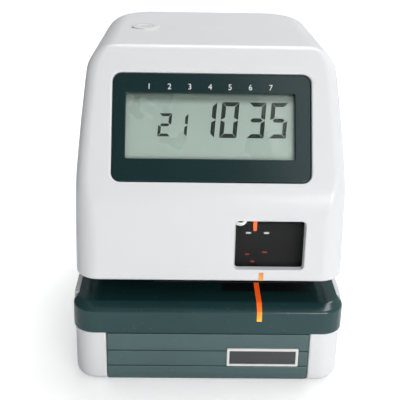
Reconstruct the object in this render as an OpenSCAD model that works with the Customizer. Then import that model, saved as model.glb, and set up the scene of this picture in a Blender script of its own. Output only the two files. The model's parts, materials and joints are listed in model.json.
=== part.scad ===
// Desk date and time stamp. A card slides over the table into the throat under the head,
// trips a lever, and the print head on its carriage stamps it. Millimetres, +Z up.
// The origin is on the surface it stands on, under the middle of the body; the front faces -Y.
// Depths named _d are measured back from the front face of the card table.

/* [Body] */
// Width over the base and the card table
body_w = 152; // [148:1:160]
// Depth over the base
body_d = 180; // [178:1:190]
// Height from the surface it stands on to the top of the head
body_h = 187; // [184:1:194]
// Thickness of the moulded walls
wall = 2.5; // [2:0.1:3]
// Radius of the upright front corners of base and table
front_r = 13; // [9:1:16]
// Radius of the upright rear corners of the base
rear_r = 14; // [10:1:18]
// Gap between two parts that only lie side by side
gap = 0.3; // [0.2:0.05:0.5]

/* [Base] */
// Height of the rubber feet
foot_h = 2; // [1.5:0.5:4]
// Radius of the rubber feet
foot_r = 7; // [5:0.5:8]
// Distance of the feet and base screws from the sides
foot_in = 20; // [18:1:24]
// Height of the base between its underside and the table
base_h = 32; // [30:1:36]
// Set-back of the base behind the card table's face
base_in = 0.8; // [0.6:0.1:1.5]
// Radius of the rounded lower edge of the base
base_r = 5.5; // [4:0.5:6]
// Thickness of the base plate
plate_t = 1.5; // [1:0.1:2]
// Width of the front band
band_w = 113.5; // [100:0.5:118]
// Thickness of the front band
band_t = 3; // [2.6:0.1:4]
// Depth of the band's two grooves
groove = 0.9; // [0.5:0.1:1.2]
// Width of the badge
badge_w = 40.5; // [30:0.5:46]
// Height of the badge
badge_h = 11.5; // [9:0.5:13]
// Sideways place of the badge's middle
badge_x = 31; // [20:1:34]
// Radius of the cord's hole in its gland
cord_r = 3.5; // [3:0.1:4]

/* [Card table] */
// Height of the table's front face below its bevel
fender_h = 14; // [11:0.5:16]
// Height of the bevel round the table
bevel_h = 3; // [2.6:0.2:4]
// Depth of the bevel at the front
bevel_d = 6.5; // [5:0.5:8]
// Width of the bevel at the sides and of the housing's cheeks
cheek_w = 2.8; // [2.6:0.1:3.4]
// How far back the fender reaches at the sides
fender_d = 17; // [15:1:19]
// Thickness of the table
table_t = 3; // [2.6:0.1:3.6]
// Depth of the throat
throat_d = 78; // [74:1:82]
// Width of the orange sight line
sight_w = 2.8; // [2:0.1:3.5]
// Sideways place of the sight line
sight_x = 28.2; // [26:0.1:32]

/* [Head] */
// Width of the head at its lower edge
head_w = 147.5; // [145:0.5:150]
// Height of the throat's mouth above the table
mouth_h = 14.3; // [13.5:0.1:16]
// Set-back of the head's front behind the table's face
head_in = 3; // [2:0.5:4]
// Height of the upright front below the sloped face
brow_h = 47.7; // [47:0.1:50]
// Lean of the sloped display face, degrees from upright
lean = 28; // [26:0.5:29]
// How far each side of the head leans in by the top
side_in = 7.5; // [4:0.5:9]
// How far each side of the head draws in by the rear
rear_in = 3; // [0:0.5:4]
// Radius of the blend between the upright and the sloped face
brow_r = 36; // [30:1:40]
// Radius of the edge between the sloped face and the top
crease_r = 5; // [3:0.5:7]
// Radius of the head's shoulders
shoulder_r = 14; // [12:1:18]
// Radius of the head's rear edge at the top
crown_r = 20; // [14:1:22]
// Radius of the head's upright front corners
head_front_r = 13; // [9:1:15]
// Radius of the edges beside the sloped face
slope_edge_r = 7; // [4:1:12]
// Radius of the head's upright rear corners
head_rear_r = 36; // [28:1:38]
// How far the top falls towards the rear
top_fall = 2.5; // [2:0.5:4]

/* [Display] */
// Width of the dark display bezel
bezel_w = 106; // [100:1:108]
// Height of the bezel along the slope
bezel_h = 58.5; // [56:0.5:60]
// Distance from the foot of the slope to the bezel
bezel_v = 10; // [9:0.5:11]
// Corner radius of the bezel
bezel_r = 5; // [3:0.5:7]
// Width of the display's clear window
glass_w = 90.4; // [84:0.2:92]
// Height of the display's clear window
glass_h = 35.6; // [30:0.2:37]
// Distance from the bezel's lower edge to the clear window
glass_v = 12.4; // [11:0.2:14]

/* [Viewing window] */
// Width of the viewing window
view_w = 37.6; // [33:0.1:39]
// Height of the viewing window
view_h = 28.5; // [24:0.1:29]
// Sideways place of the window's middle
view_x = 32.4; // [31:0.1:34]
// Height of the window above the head's lower edge
view_up = 7.5; // [6:0.1:8]
// Thickness of the window pane
pane_t = 1.5; // [1:0.1:2]

/* [Print mechanism] */
// Radius of the front guide rod
rod_r = 3; // [2.5:0.1:3.2]
// Radius of the rear guide rod
rear_rod_r = 2.5; // [2:0.1:2.8]
// Radial clearance of shafts in their bores
run = 0.05; // [0.02:0.01:0.1]
// Width of the carriage
carriage_w = 24; // [20:1:26]
// Sideways place of the carriage at home
home_x = -12; // [-14:0.5:-10]
// Travel of the carriage
travel = 60; // [50:1:62]
// Radius of the belt pulleys
pulley_r = 6; // [5:0.1:6.5]
// Thickness of the belt
belt_t = 1.2; // [0.8:0.1:1.4]
// Radius of the belt motor
motor_r = 14.5; // [12:0.5:15]
// Radius of the ribbon knob
knob_r = 7; // [5:0.5:9]
// Height of the print gap above the table
print_gap = 5; // [4.8:0.1:6]
// Radius of the key lock's ring
lock_r = 8; // [7:0.5:9]
// Sideways place of the key lock
lock_x = -38.5; // [-42:0.5:-36]
// Depth of the key lock's middle from the front
lock_d = 97; // [92:1:97]
// Travel of a setting button
button_travel = 0.8; // [0.4:0.1:1]

/* [Hidden] */
$fn = 48;
corner_steps = 6;
cut = 1;

// Heights
base_z = foot_h;
tray_z = base_z + base_h;
fender_z = tray_z + fender_h;
table_z = fender_z + bevel_h;
deck_z = table_z - table_t;
lip_z = table_z + mouth_h;
brow_z = lip_z + brow_h;
floor_t = 2;
floor_z = lip_z + 0.5;
deck_up = floor_z + floor_t;

// Plan
half_w = body_w / 2;
table_half = half_w - cheek_w;
house_half = half_w - base_in;
house_front = base_in;
column_half = half_w - 9;
column_step_d = body_d - 17;
column_low = floor_z - 5.5;
column_step_r = head_rear_r - 12;
foot_x = half_w - foot_in;

// Side profile of the head
head_rear = body_d - 1.5;
brow_tan = brow_r * tan(lean / 2);
brow_start = brow_z - brow_tan;
brow_end = brow_start + brow_r * sin(lean);
crease_c = body_h - crease_r;
crease_d = head_in + (crease_c - brow_z) * tan(lean) + crease_r / cos(lean);
crease_t = crease_c + crease_r * sin(lean);
rear_draft = 0.03;
edge_blend = 15;

// Hinge of the head cover
hinge_d = body_d - 8.5;
hinge_z = lip_z + 4;
pin_r = 1.5;
ear_r = 3.5;
ear_x = 36;
ear_w = 4;

// Print mechanism
side_t = 2;
side_x = 64;
side_top = brow_z + 13;
rod_z = deck_up + 12.5;
belt_d = 78;
rear_rod_d = belt_d - motor_r - 3.5;
rod_d = rear_rod_d - 18;
nose_d = 26;
nose_w = 10;
ribbon_t = 0.3;
ribbon_w = 12;
ribbon_z = table_z + print_gap;
slot_left = home_x - 21;
slot_right = home_x + travel + 14.5;
slot_w = 14;
belt_z = deck_up + 21;
belt_w = 6;
motor_x = -46;
idler_x = 54;
shaft_r = 1.5;
post_r = 2;
cassette_z = belt_z + 10.5;
cassette_h = 11;
knob_x = -44;
knob_d = 50;
guide_z = table_z + 8;
guide_t = 2;
guide_half = half_w - 11;
lever_x = 8;
lever_d = 70;
lever_w = 8;
lever_pin_r = 1.2;
switch_d = 74.8;

// Circuit boards and their bracket
bracket_t = 1.5;
bracket_d = 84;
bracket_end_d = head_rear - 34.5;
bracket_hole_d = bracket_d + 22;
bracket_hole_end_d = bracket_end_d - 10;
board_t = 1.6;
board_half = 58;
board_d = bracket_d + 14;
board_end_d = bracket_end_d - 4;
board_z = side_top + bracket_t + 5;
board_top = board_z + board_t;
button_d = board_d + 6;
button_xs = [20, 32, 44];
spacer_xs = [-52, 52];
spacer_ds = [board_d + 5, board_end_d - 5];
// Chips as left edge, depth on the board, width, length and height; capacitors as middle,
// depth on the board, radius and height
chips = [[-34, 10, 36, 12, 3], [8, 12, 14, 8, 3], [26, 12, 14, 8, 3], [-34, 3, 10, 5, 2.4]];
capacitors = [[50, 16, 5, 12], [-42, 17, 4, 9], [-50, 14, 3.2, 8]];

// Screws of the bracket, in tabs of the side plates, and of the frame, in posts of the housing
tab_x = side_x - 3.5;
tab_ds = [bracket_d + 8, bracket_end_d - 8];
frame_screw_x = column_half - wall - 3.5;
frame_screw_ds = [throat_d + 20, column_step_d - 27];
frame_post_r = 4.5;

// Holes for the cables between head and base
cable_d = 120;
cable_r = 4;

// Lock
lock_seat_z = top_at(lock_d + lock_r) - 0.35;
cam_z = body_h - 26;
cam_len = 16;

function fy(d) = d - body_d / 2;
function clamp(v, lo, hi) = max(lo, min(hi, v));
function rounding(t, r) = t >= r ? 0 : r - sqrt(r * r - (r - t) * (r - t));

// Depth of the head's front at a height, for a skin that lies in by t
function face_lean(z) = z <= brow_start ? 0 : z >= brow_end ? lean : asin((z - brow_start) / brow_r);
function face_line(z) =
    z <= brow_start ? head_in
    : z <= brow_end ? head_in + brow_r * (1 - cos(face_lean(z)))
    : head_in + (z - brow_z) * tan(lean);
function head_face(z, t) =
    z > crease_t - t
    ? crease_d - sqrt(max(0, pow(crease_r - min(t, crease_r), 2) - pow(z - crease_c, 2)))
      + max(0, t - crease_r) * 1.2
    : face_line(z) + t / cos(face_lean(z));
// The top falls and the sides draw in towards the rear
function rearward(d) = clamp((d - crease_d) / (head_rear - crease_d), 0, 1);
function fall(d, z) = top_fall * rearward(d) * (z - lip_z) / (body_h - lip_z);
function top_at(d) = body_h - fall(d, body_h);

// Points of an arc, and an outline with round front and rear corners
function arc(x, y, r, a0, a1) =
    [for (i = [0:corner_steps]) let (a = a0 + (a1 - a0) * i / corner_steps)
        [x + r * cos(a), y + r * sin(a)]];
function outline(half, front, back, rf, rr) = concat(
    arc(half - rf, fy(front) + rf, rf, -90, 0),
    arc(half - rr, fy(back) - rr, rr, 0, 90),
    arc(-half + rr, fy(back) - rr, rr, 90, 180),
    arc(-half + rf, fy(front) + rf, rf, 180, 270));

function flat_ring(points, z) = [for (p = points) [p[0], p[1], z]];

// The head's plan outline, and the radius of its front edges, upright below and sloped above
function head_plan(half, front, back, rf, rr) =
    [for (p = outline(half, front, back, rf, rr))
        [p[0] * (1 - rear_in * rearward(p[1] + body_d / 2) / (head_w / 2)), p[1]]];
function edge_r(z) =
    let (k = clamp((z - brow_z + edge_blend) / (2 * edge_blend), 0, 1))
    head_front_r + (slope_edge_r - head_front_r) * k * k * (3 - 2 * k);
function head_half(z) = head_w / 2 - side_in * pow((z - lip_z) / (body_h - lip_z), 2);

// One level of the head, z being its height before the top falls
function head_ring(z, t, top) =
    let (side = rounding(top - z, max(1, shoulder_r - t)),
         crown = rounding(top - z, max(1, crown_r - t)),
         back = head_rear - rear_draft * (z - lip_z) - t - crown,
         rf = max(3, edge_r(z) - t - side * 0.5),
         rr = max(6, head_rear_r - t - crown))
    [for (p = head_plan(head_half(z) - t - side, head_face(z, t), back, rf, rr))
        [p[0], p[1], z - fall(p[1] + body_d / 2, z)]];
function head_levels(top, r) = concat(
    [for (i = [0:4]) brow_start + (brow_end - brow_start) * i / 4],
    [for (i = [1:3]) brow_end + (top - r - brow_end) * i / 4],
    [for (a = [0:10:90]) top - r * (1 - sin(a))]);

// A solid through a stack of rings of equal count
module loft(rings) {
    n = len(rings[0]);
    levels = len(rings);
    sides = [for (k = [0:levels - 2]) for (i = [0:n - 1]) let (j = (i + 1) % n)
        each [[k * n + i, (k + 1) * n + i, (k + 1) * n + j], [k * n + i, (k + 1) * n + j, k * n + j]]];
    polyhedron(
        points = [for (ring = rings) each ring],
        faces = concat([[for (i = [0:n - 1]) i]], sides,
            [[for (i = [n - 1:-1:0]) (levels - 1) * n + i]]));
}

module slab(z0, z1, points) {
    translate([0, 0, z0])
        linear_extrude(z1 - z0)
            polygon(points);
}

// A block from its lowest and highest corners, y given as depth from the front
module block(x0, x1, d0, d1, z0, z1) {
    translate([x0, fy(d0), z0])
        cube([x1 - x0, d1 - d0, z1 - z0]);
}

module post(x, d, z0, z1, r) {
    translate([x, fy(d), z0])
        cylinder(r = r, h = z1 - z0);
}

// A cylinder along X
module bar(x0, x1, d, z, r) {
    translate([x0, fy(d), z])
        rotate([0, 90, 0])
            cylinder(r = r, h = x1 - x0);
}

// A side profile of [depth, height] points drawn out along X
module profile(x0, x1, points) {
    translate([x0, -body_d / 2, 0])
        rotate([90, 0, 90])
            linear_extrude(x1 - x0)
                polygon(points);
}

// Puts its children on the slope: x across, y up the slope, z out of the face
module on_slope() {
    translate([0, fy(head_in), brow_z])
        rotate([90 - lean, 0, 0])
            children();
}

module rounded_plate(w, h, r, z0, z1) {
    translate([0, 0, z0])
        linear_extrude(z1 - z0)
            polygon(concat(
                arc(w / 2 - r, -h / 2 + r, r, -90, 0),
                arc(w / 2 - r, h / 2 - r, r, 0, 90),
                arc(-w / 2 + r, h / 2 - r, r, 90, 180),
                arc(-w / 2 + r, -h / 2 + r, r, 180, 270)));
}

module at_feet() {
    for (x = [-foot_x, foot_x])
        for (y = [fy(foot_in), fy(body_d - foot_in)])
            translate([x, y, 0])
                children();
}

module at_base_screws() {
    for (x = [-foot_x, foot_x])
        for (y = [fy(foot_in + 16), fy(body_d - foot_in - 16)])
            translate([x, y, 0])
                children();
}

/* ---- Base ---- */

gland_z = 20;
gland_x = 40;
gland_flange_r = 8;
gland_neck_r = 6;
gland_flange_t = 1.5;

// The base's outline, in by t, and its levels from the rounded lower edge up to a height
function base_plan(t) =
    outline(house_half - t, house_front + t, body_d - t, front_r - t, rear_r - t);
function base_rings(t, top) = concat(
    [for (a = [0:18:90])
        flat_ring(base_plan(t + base_r * (1 - sin(a))), base_z + base_r * (1 - cos(a)))],
    [flat_ring(base_plan(t), top)]);

module lower_housing() {
    inner_half = house_half - wall;
    color([0.86, 0.88, 0.90])
    difference() {
        union() {
            loft(base_rings(0, tray_z));
            slab(tray_z, deck_z, outline(half_w, fender_d, body_d, cut, rear_r));
            // Cheeks beside the table, and the deck behind it
            difference() {
                slab(deck_z, table_z, outline(half_w, fender_d, body_d, cut, rear_r));
                block(-table_half, table_half, fender_d - cut, throat_d, deck_z, table_z + cut);
            }
            slab(table_z, column_low, outline(column_half, throat_d, body_d - cut, 3, rear_r));
            slab(column_low, floor_z,
                outline(column_half, throat_d, column_step_d, 3, column_step_r));
        }
        // Inside of the base, of the step behind the fender and of the column
        loft(base_rings(wall, tray_z - wall));
        slab(base_z - cut, base_z + 0.5, base_plan(base_r + wall));
        slab(tray_z - wall - cut, deck_z - wall,
            outline(inner_half, fender_d + wall, body_d - wall, cut, rear_r - wall));
        slab(deck_z, column_low - wall,
            outline(column_half - wall, throat_d + wall, body_d - cut - wall, 3, rear_r - wall));
        slab(floor_z - 8, floor_z + cut,
            outline(column_half - wall, throat_d + wall, column_step_d - wall, 2,
                column_step_r - wall));
        for (x = spacer_xs)
            post(x, cable_d, deck_z - wall - cut, deck_z + cut, cable_r);
        // Seat of the front band
        block(-band_w / 2 - gap, band_w / 2 + gap, -cut, house_front + wall + cut,
            base_z - cut, tray_z - 1.2);
        // Cord gland: a countersunk hole in the rear wall
        translate([gland_x, fy(body_d) + cut, gland_z])
            rotate([90, 0, 0])
                cylinder(r = gland_neck_r, h = wall + 2 * cut);
        translate([gland_x, fy(body_d) + cut, gland_z])
            rotate([90, 0, 0])
                cylinder(r = gland_flange_r, h = gland_flange_t + cut);
    }
    // Screw posts under the deck and under the head frame
    color([0.86, 0.88, 0.90])
    difference() {
        union() {
            at_base_screws()
                translate([0, 0, base_z + plate_t])
                    cylinder(r = frame_post_r, h = deck_z - wall - base_z - plate_t + 0.5);
            at_frame_screws()
                translate([0, 0, deck_z - 0.5])
                    cylinder(r = frame_post_r, h = floor_z - deck_z + 0.5);
        }
        at_base_screws()
            translate([0, 0, base_z])
                cylinder(r = 1.5, h = 14);
        at_frame_screws()
            translate([0, 0, floor_z - 12])
                cylinder(r = 1.4, h = 12 + cut);
    }
}

module base_plate() {
    color([0.30, 0.31, 0.32])
    difference() {
        slab(base_z, base_z + plate_t, base_plan(base_r + wall + gap));
        at_base_screws()
            translate([0, 0, base_z - cut])
                cylinder(r = 2, h = plate_t + 2 * cut);
        // Air slots under the transformer
        for (i = [0:5])
            block(-46 + i * 8, -42 + i * 8, 124, 150, base_z - cut, base_z + plate_t + cut);
    }
}

module rubber_feet() {
    color([0.12, 0.12, 0.12])
    at_feet()
        difference() {
            cylinder(r = foot_r, h = foot_h);
            translate([0, 0, -cut])
                cylinder(r = 2.5, h = cut + 0.8);
        }
}

module base_screws() {
    color([0.62, 0.63, 0.65])
    at_base_screws() {
        translate([0, 0, base_z - 1.2])
            difference() {
                cylinder(r = 3, h = 1.2);
                translate([-2, -0.4, -0.4])
                    cube([4, 0.8, 0.8]);
                translate([-0.4, -2, -0.4])
                    cube([0.8, 4, 0.8]);
            }
        translate([0, 0, base_z])
            cylinder(r = 1.4, h = 12);
    }
}

band_top = tray_z - 1.5;
band_low = base_z + 0.8;
band_front = 0.6;
band_back = band_front + band_t;
band_pitch = (band_top - band_low) / 3;

module front_band() {
    foot = band_low + 6;
    curl = [for (a = [180:15:270])
        [band_front + band_t - 0.5 + (band_t - 0.5) * cos(a), foot + 6 * sin(a)]];
    notch = function (z) [[band_front, z + 0.5], [band_front + groove, z], [band_front, z - 0.5]];
    color([0.32, 0.38, 0.36])
    difference() {
        profile(-band_w / 2, band_w / 2, concat(
            [[band_back, band_top], [band_front + 0.4, band_top], [band_front, band_top - 0.8]],
            notch(band_low + 2 * band_pitch),
            notch(band_low + band_pitch),
            curl, [[band_back, band_low]]));
        badge_block(badge_w + 2 * gap, badge_h + 2 * gap, -cut, band_front + 0.8);
    }
}

badge_z = band_low + 1.6 * band_pitch;

module badge_block(w, h, d0, d1) {
    block(badge_x - w / 2, badge_x + w / 2, d0, d1, badge_z - h / 2, badge_z + h / 2);
}

module badge_frame() {
    color([0.90, 0.90, 0.88])
    difference() {
        badge_block(badge_w, badge_h, 0.1, band_front + 0.8);
        badge_block(badge_w - 3, badge_h - 3, -cut, 0.8);
    }
}

module badge_field() {
    color([0.25, 0.26, 0.26])
    badge_block(badge_w - 3 - 0.2, badge_h - 3 - 0.2, 0.4, 0.8);
}

module cord_gland() {
    color([0.10, 0.10, 0.10])
    translate([gland_x, fy(body_d), gland_z])
        rotate([90, 0, 0])
            difference() {
                union() {
                    cylinder(r = gland_flange_r - gap, h = gland_flange_t);
                    cylinder(r = gland_neck_r - 0.1, h = 9);
                    translate([0, 0, wall + 0.1])
                        cylinder(r = gland_flange_r - gap, h = 2);
                }
                translate([0, 0, -cut])
                    cylinder(r = cord_r, h = 9 + 2 * cut);
            }
}

core_x = -24;
core_d = 137;
core_w = 48;
core_t = 20;
core_h = 36;
window_w = 8;
window_h = 22;

module core_window(grow) {
    for (side = [-1, 1])
        translate([core_x + side * 12 - window_w / 2 + grow, fy(core_d) - core_t,
            base_z + plate_t + (core_h - window_h) / 2 + grow])
            cube([window_w - 2 * grow, 2 * core_t, window_h - 2 * grow]);
}

module transformer_core() {
    color([0.36, 0.35, 0.34])
    difference() {
        block(core_x - core_w / 2, core_x + core_w / 2, core_d - core_t / 2, core_d + core_t / 2,
            base_z + plate_t, base_z + plate_t + core_h);
        core_window(0);
    }
}

module transformer_coil() {
    z0 = base_z + plate_t + (core_h - window_h) / 2;
    color([0.72, 0.62, 0.30])
    difference() {
        block(core_x - 15, core_x + 15, core_d - 17, core_d + 17, z0 + gap, z0 + window_h - gap);
        difference() {
            block(core_x - core_w, core_x + core_w, core_d - core_t / 2 - gap,
                core_d + core_t / 2 + gap, 0, table_z);
            core_window(gap);
        }
    }
}

cell_r = 7;

module battery_pack() {
    color([0.20, 0.42, 0.30])
    for (i = [0:2])
        translate([16, fy(118 + i * (2 * cell_r + gap)), base_z + plate_t + cell_r])
            rotate([0, 90, 0])
                union() {
                    cylinder(r = cell_r, h = 28);
                    cylinder(r = 2.5, h = 29.5);
                }
}

/* ---- Card table ---- */

platen_x0 = 8;
platen_x1 = 58;
sight_t = 0.5;
sight_end_d = nose_d + 8;

module card_table() {
    full = outline(half_w, 0, fender_d - 0.05, front_r, cut);
    rim = outline(table_half, bevel_d, fender_d - 0.05, front_r - 4, cut);
    color([0.24, 0.30, 0.28])
    difference() {
        union() {
            loft([flat_ring(full, tray_z), flat_ring(full, fender_z), flat_ring(rim, table_z)]);
            block(-table_half + 0.1, table_half - 0.1, fender_d - 4, throat_d - 0.1, deck_z, table_z);
        }
        block(platen_x0, platen_x1, nose_d - 7, nose_d + 7, table_z - 2, table_z + cut);
        sight_channel();
    }
}

module sight_channel() {
    profile(sight_x - sight_w / 2 - 0.1, sight_x + sight_w / 2 + 0.1, [
        [sight_end_d + 0.2, table_z - sight_t], [bevel_d, table_z - sight_t],
        [sight_t, fender_z - 0.3], [sight_t, fender_z - 6], [-cut, fender_z - 6],
        [-cut, table_z + cut], [sight_end_d + 0.2, table_z + cut]]);
}

module sight_line() {
    color([0.96, 0.40, 0.14])
    profile(sight_x - sight_w / 2, sight_x + sight_w / 2, [
        [sight_end_d, table_z - sight_t], [bevel_d, table_z - sight_t],
        [sight_t, fender_z - 0.3], [sight_t, fender_z - 5.9], [0.05, fender_z - 5.9],
        [0.05, fender_z], [bevel_d - 0.1, table_z], [sight_end_d, table_z]]);
}

module platen() {
    color([0.16, 0.16, 0.17])
    difference() {
        block(platen_x0 + 0.1, platen_x1 - 0.1, nose_d - 6.9, nose_d + 6.9, table_z - 2, table_z);
        sight_channel();
    }
}

/* ---- Head frame ---- */

lever_slot = [lever_x - lever_w / 2 - 1.5, lever_x + lever_w / 2 + 1.5];

module head_frame() {
    floor_half = head_w / 2 - wall - 1;
    color([0.66, 0.68, 0.70])
    difference() {
        union() {
            slab(floor_z, deck_up,
                head_plan(floor_half, head_in + wall + 2.5, column_step_d, head_front_r - wall,
                    column_step_r));
            for (side = [-1, 1]) {
                block(min(side * side_x, side * (side_x + side_t)),
                    max(side * side_x, side * (side_x + side_t)), rod_d - 5, bracket_end_d,
                    deck_up - 0.5, side_top);
                // Ledge that carries the ribbon cassette
                block(min(side * (side_x - 6), side * (side_x + 0.5)),
                    max(side * (side_x - 6), side * (side_x + 0.5)), 40, 60,
                    cassette_z - 1.5, cassette_z);
                // Tabs that take the bracket's screws
                for (d = tab_ds)
                    block(min(side * (side_x - 6.5), side * (side_x + 0.5)),
                        max(side * (side_x - 6.5), side * (side_x + 0.5)), d - 4, d + 4,
                        side_top - 2, side_top);
                // Hinge ear
                difference() {
                    union() {
                        block(side * (ear_x + ear_w / 2) - ear_w / 2,
                            side * (ear_x + ear_w / 2) + ear_w / 2,
                            column_step_d - 8, hinge_d, deck_up - 0.5, hinge_z + ear_r);
                        bar(side * (ear_x + ear_w / 2) - ear_w / 2,
                            side * (ear_x + ear_w / 2) + ear_w / 2, hinge_d, hinge_z, ear_r);
                    }
                    bar(side * ear_x - ear_w * 1.5, side * ear_x + ear_w * 1.5, hinge_d, hinge_z,
                        pin_r);
                }
            }
            // Ears of the trigger lever
            for (x = lever_slot)
                difference() {
                    block(x - 0.75, x + 0.75, lever_d - 4, lever_d + 4, deck_up - 0.5,
                        deck_up + 9);
                    bar(x - 2, x + 2, lever_d, deck_up + 5, lever_pin_r);
                }
        }
        block(slot_left, slot_right, nose_d - slot_w / 2, nose_d + slot_w / 2,
            floor_z - cut, deck_up + cut);
        block(lever_slot[0] + 0.75, lever_slot[1] - 0.75, lever_d - 9, lever_d + 3.9,
            floor_z - cut, deck_up + cut);
        bar(-half_w, half_w, rod_d, rod_z, rod_r);
        bar(-half_w, half_w, rear_rod_d, rod_z, rear_rod_r);
        for (x = spacer_xs)
            post(x, cable_d, floor_z - cut, deck_up + cut, cable_r);
        at_bracket_screws()
            translate([0, 0, side_top - 2 - cut])
                cylinder(r = 1.25, h = 2 + 2 * cut);
        at_frame_screws()
            translate([0, 0, floor_z - cut])
                cylinder(r = 1.7, h = floor_t + 2 * cut);
    }
}

module paper_guide() {
    ramp_d = head_in + wall + 3;
    color([0.20, 0.21, 0.22])
    difference() {
        union() {
            profile(-guide_half, guide_half, [
                [ramp_d, floor_z], [ramp_d, floor_z - 1.2], [ramp_d + 9, guide_z],
                [throat_d - 0.1, guide_z], [throat_d - 0.1, guide_z + guide_t],
                [ramp_d + 10, guide_z + guide_t], [ramp_d + 3, floor_z]]);
            for (side = [-1, 1])
                block(side * (guide_half - 2) - 2, side * (guide_half - 2) + 2, ramp_d + 9,
                    throat_d - 0.1, guide_z + 0.5, floor_z);
        }
        block(slot_left, slot_right, nose_d - slot_w / 2, nose_d + slot_w / 2,
            guide_z - cut, floor_z + cut);
        block(lever_slot[0] + 0.75, lever_slot[1] - 0.75, lever_d - 9, lever_d + 3.9,
            guide_z - cut, floor_z + cut);
    }
}

module ribbon_mask() {
    mask_d = 13;
    mask_top = deck_up + 28;
    color([0.10, 0.10, 0.11])
    profile(view_x - view_w / 2 - 3, view_x + view_w / 2 + 3, [
        [mask_d - 3.5, deck_up], [mask_d + 4, deck_up], [mask_d + 4, deck_up + 1.2],
        [mask_d + 1.2, deck_up + 1.2], [mask_d + 2.4, mask_top], [mask_d + 1.2, mask_top],
        [mask_d, deck_up + 1.2], [mask_d - 3.5, deck_up + 1.2]]);
}

module guide_rods() {
    color([0.78, 0.79, 0.80]) {
        bar(-side_x - side_t, side_x + side_t, rod_d, rod_z, rod_r - 0.02);
        bar(-side_x - side_t, side_x + side_t, rear_rod_d, rod_z, rear_rod_r - 0.02);
    }
}

motor_top = belt_z - 1;

module belt_motor() {
    color([0.50, 0.51, 0.52])
    difference() {
        union() {
            post(motor_x, belt_d, deck_up, motor_top - 1.5, motor_r);
            post(motor_x, belt_d, motor_top - 2, motor_top, 5);
            block(motor_x - motor_r - 1.5, motor_x + motor_r + 1.5, belt_d - 4, belt_d + 4, deck_up,
                deck_up + 1);
        }
        post(motor_x, belt_d, deck_up + 4, motor_top + cut, shaft_r + run);
    }
}

module idler_post() {
    color([0.72, 0.73, 0.74]) {
        post(idler_x, belt_d, deck_up, belt_z - 0.8, 3.2);
        post(idler_x, belt_d, belt_z - 1, belt_z + belt_w + 3, post_r);
    }
}

// Flat run of the belt between the pulleys, as a plan outline grown by g
function belt_points(r) = concat(
    [for (a = [-90:15:90]) [idler_x + r * cos(a), fy(belt_d) + r * sin(a)]],
    [for (a = [90:15:270]) [motor_x + r * cos(a), fy(belt_d) + r * sin(a)]]);

belt_in = pulley_r + 0.3;

module drive_belt() {
    color([0.13, 0.13, 0.13])
    difference() {
        slab(belt_z + 0.5, belt_z + 0.5 + belt_w, belt_points(belt_in + belt_t));
        slab(belt_z - cut, belt_z + belt_w + 2 * cut, belt_points(belt_in));
    }
}

module ribbon_cassette() {
    cassette_half = side_x - gap;
    color([0.22, 0.23, 0.25])
    difference() {
        union() {
            slab(cassette_z, cassette_z + cassette_h, outline(cassette_half, 34, 64, 3, 3));
            block(slot_left - 6, slot_right + 2, 15, 36, cassette_z, cassette_z + cassette_h);
        }
        post(knob_x, knob_d, cassette_z + 3, cassette_z + cassette_h + cut, post_r + run);
        // Mouths that let the ribbon down to the print line
        block(slot_left + 1, slot_left + 3, nose_d - slot_w / 2, nose_d + slot_w / 2,
            cassette_z - cut, cassette_z + 4);
        block(slot_right - 3, slot_right - 1, nose_d - slot_w / 2, nose_d + slot_w / 2,
            cassette_z - cut, cassette_z + 4);
    }
}

module ink_ribbon() {
    x0 = slot_left + 2 - ribbon_t / 2;
    x1 = slot_right - 2 + ribbon_t / 2;
    top = cassette_z + 4;
    color([0.08, 0.08, 0.12])
    translate([0, fy(nose_d) + ribbon_w / 2, 0])
        rotate([90, 0, 0])
            linear_extrude(ribbon_w)
                polygon([[x0, top], [x0, ribbon_z], [x1, ribbon_z], [x1, top], [x1 - ribbon_t, top],
                    [x1 - ribbon_t, ribbon_z + ribbon_t], [x0 + ribbon_t, ribbon_z + ribbon_t],
                    [x0 + ribbon_t, top]]);
}

module microswitch() {
    color([0.15, 0.16, 0.17]) {
        block(lever_x - 3, lever_x + 3, switch_d + 2, switch_d + 12, deck_up, deck_up + 16);
        translate([lever_x, fy(switch_d + 2.2), deck_up + 12])
            rotate([90, 0, 0])
                cylinder(r = 1.2, h = 1.6);
    }
}

module lever_pin() {
    color([0.75, 0.76, 0.77])
    bar(lever_slot[0] - 1.5, lever_slot[1] + 1.5, lever_d, deck_up + 5, lever_pin_r - 0.02);
}

catch_x = lock_x + cam_len + 2;

module board_bracket() {
    color([0.62, 0.64, 0.66])
    difference() {
        union() {
            block(-side_x - side_t, side_x + side_t, bracket_d, bracket_end_d, side_top,
                side_top + bracket_t);
            // Post and hook that hold the lock's cam
            block(catch_x, catch_x + 2, lock_d - 7.5, lock_d + 0.5, side_top + bracket_t - 0.5,
                cam_z + 4.5);
            block(catch_x - 7, catch_x + 2, lock_d - 7.5, lock_d + 0.5, cam_z + 2.6, cam_z + 4.5);
        }
        at_bracket_screws()
            translate([0, 0, side_top - cut])
                cylinder(r = 1.7, h = bracket_t + 2 * cut);
        block(-30, 30, bracket_hole_d, bracket_hole_end_d, side_top - cut,
            side_top + bracket_t + cut);
    }
}

// A cross-head screw with its head's underside at the origin
module screw(head_r, head_t, shank_r, shank_l) {
    difference() {
        cylinder(r = head_r, h = head_t);
        for (a = [0, 90])
            rotate([0, 0, a])
                translate([-head_r * 0.6, -0.4, head_t - 0.7])
                    cube([head_r * 1.2, 0.8, 1]);
    }
    translate([0, 0, -shank_l])
        cylinder(r = shank_r, h = shank_l);
}

module at_bracket_screws() {
    for (x = [-tab_x, tab_x])
        for (d = tab_ds)
            translate([x, fy(d), 0])
                children();
}

module bracket_screws() {
    color([0.70, 0.71, 0.72])
    at_bracket_screws()
        translate([0, 0, side_top + bracket_t])
            screw(2.8, 1.5, 1.2, 4);
}

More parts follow.
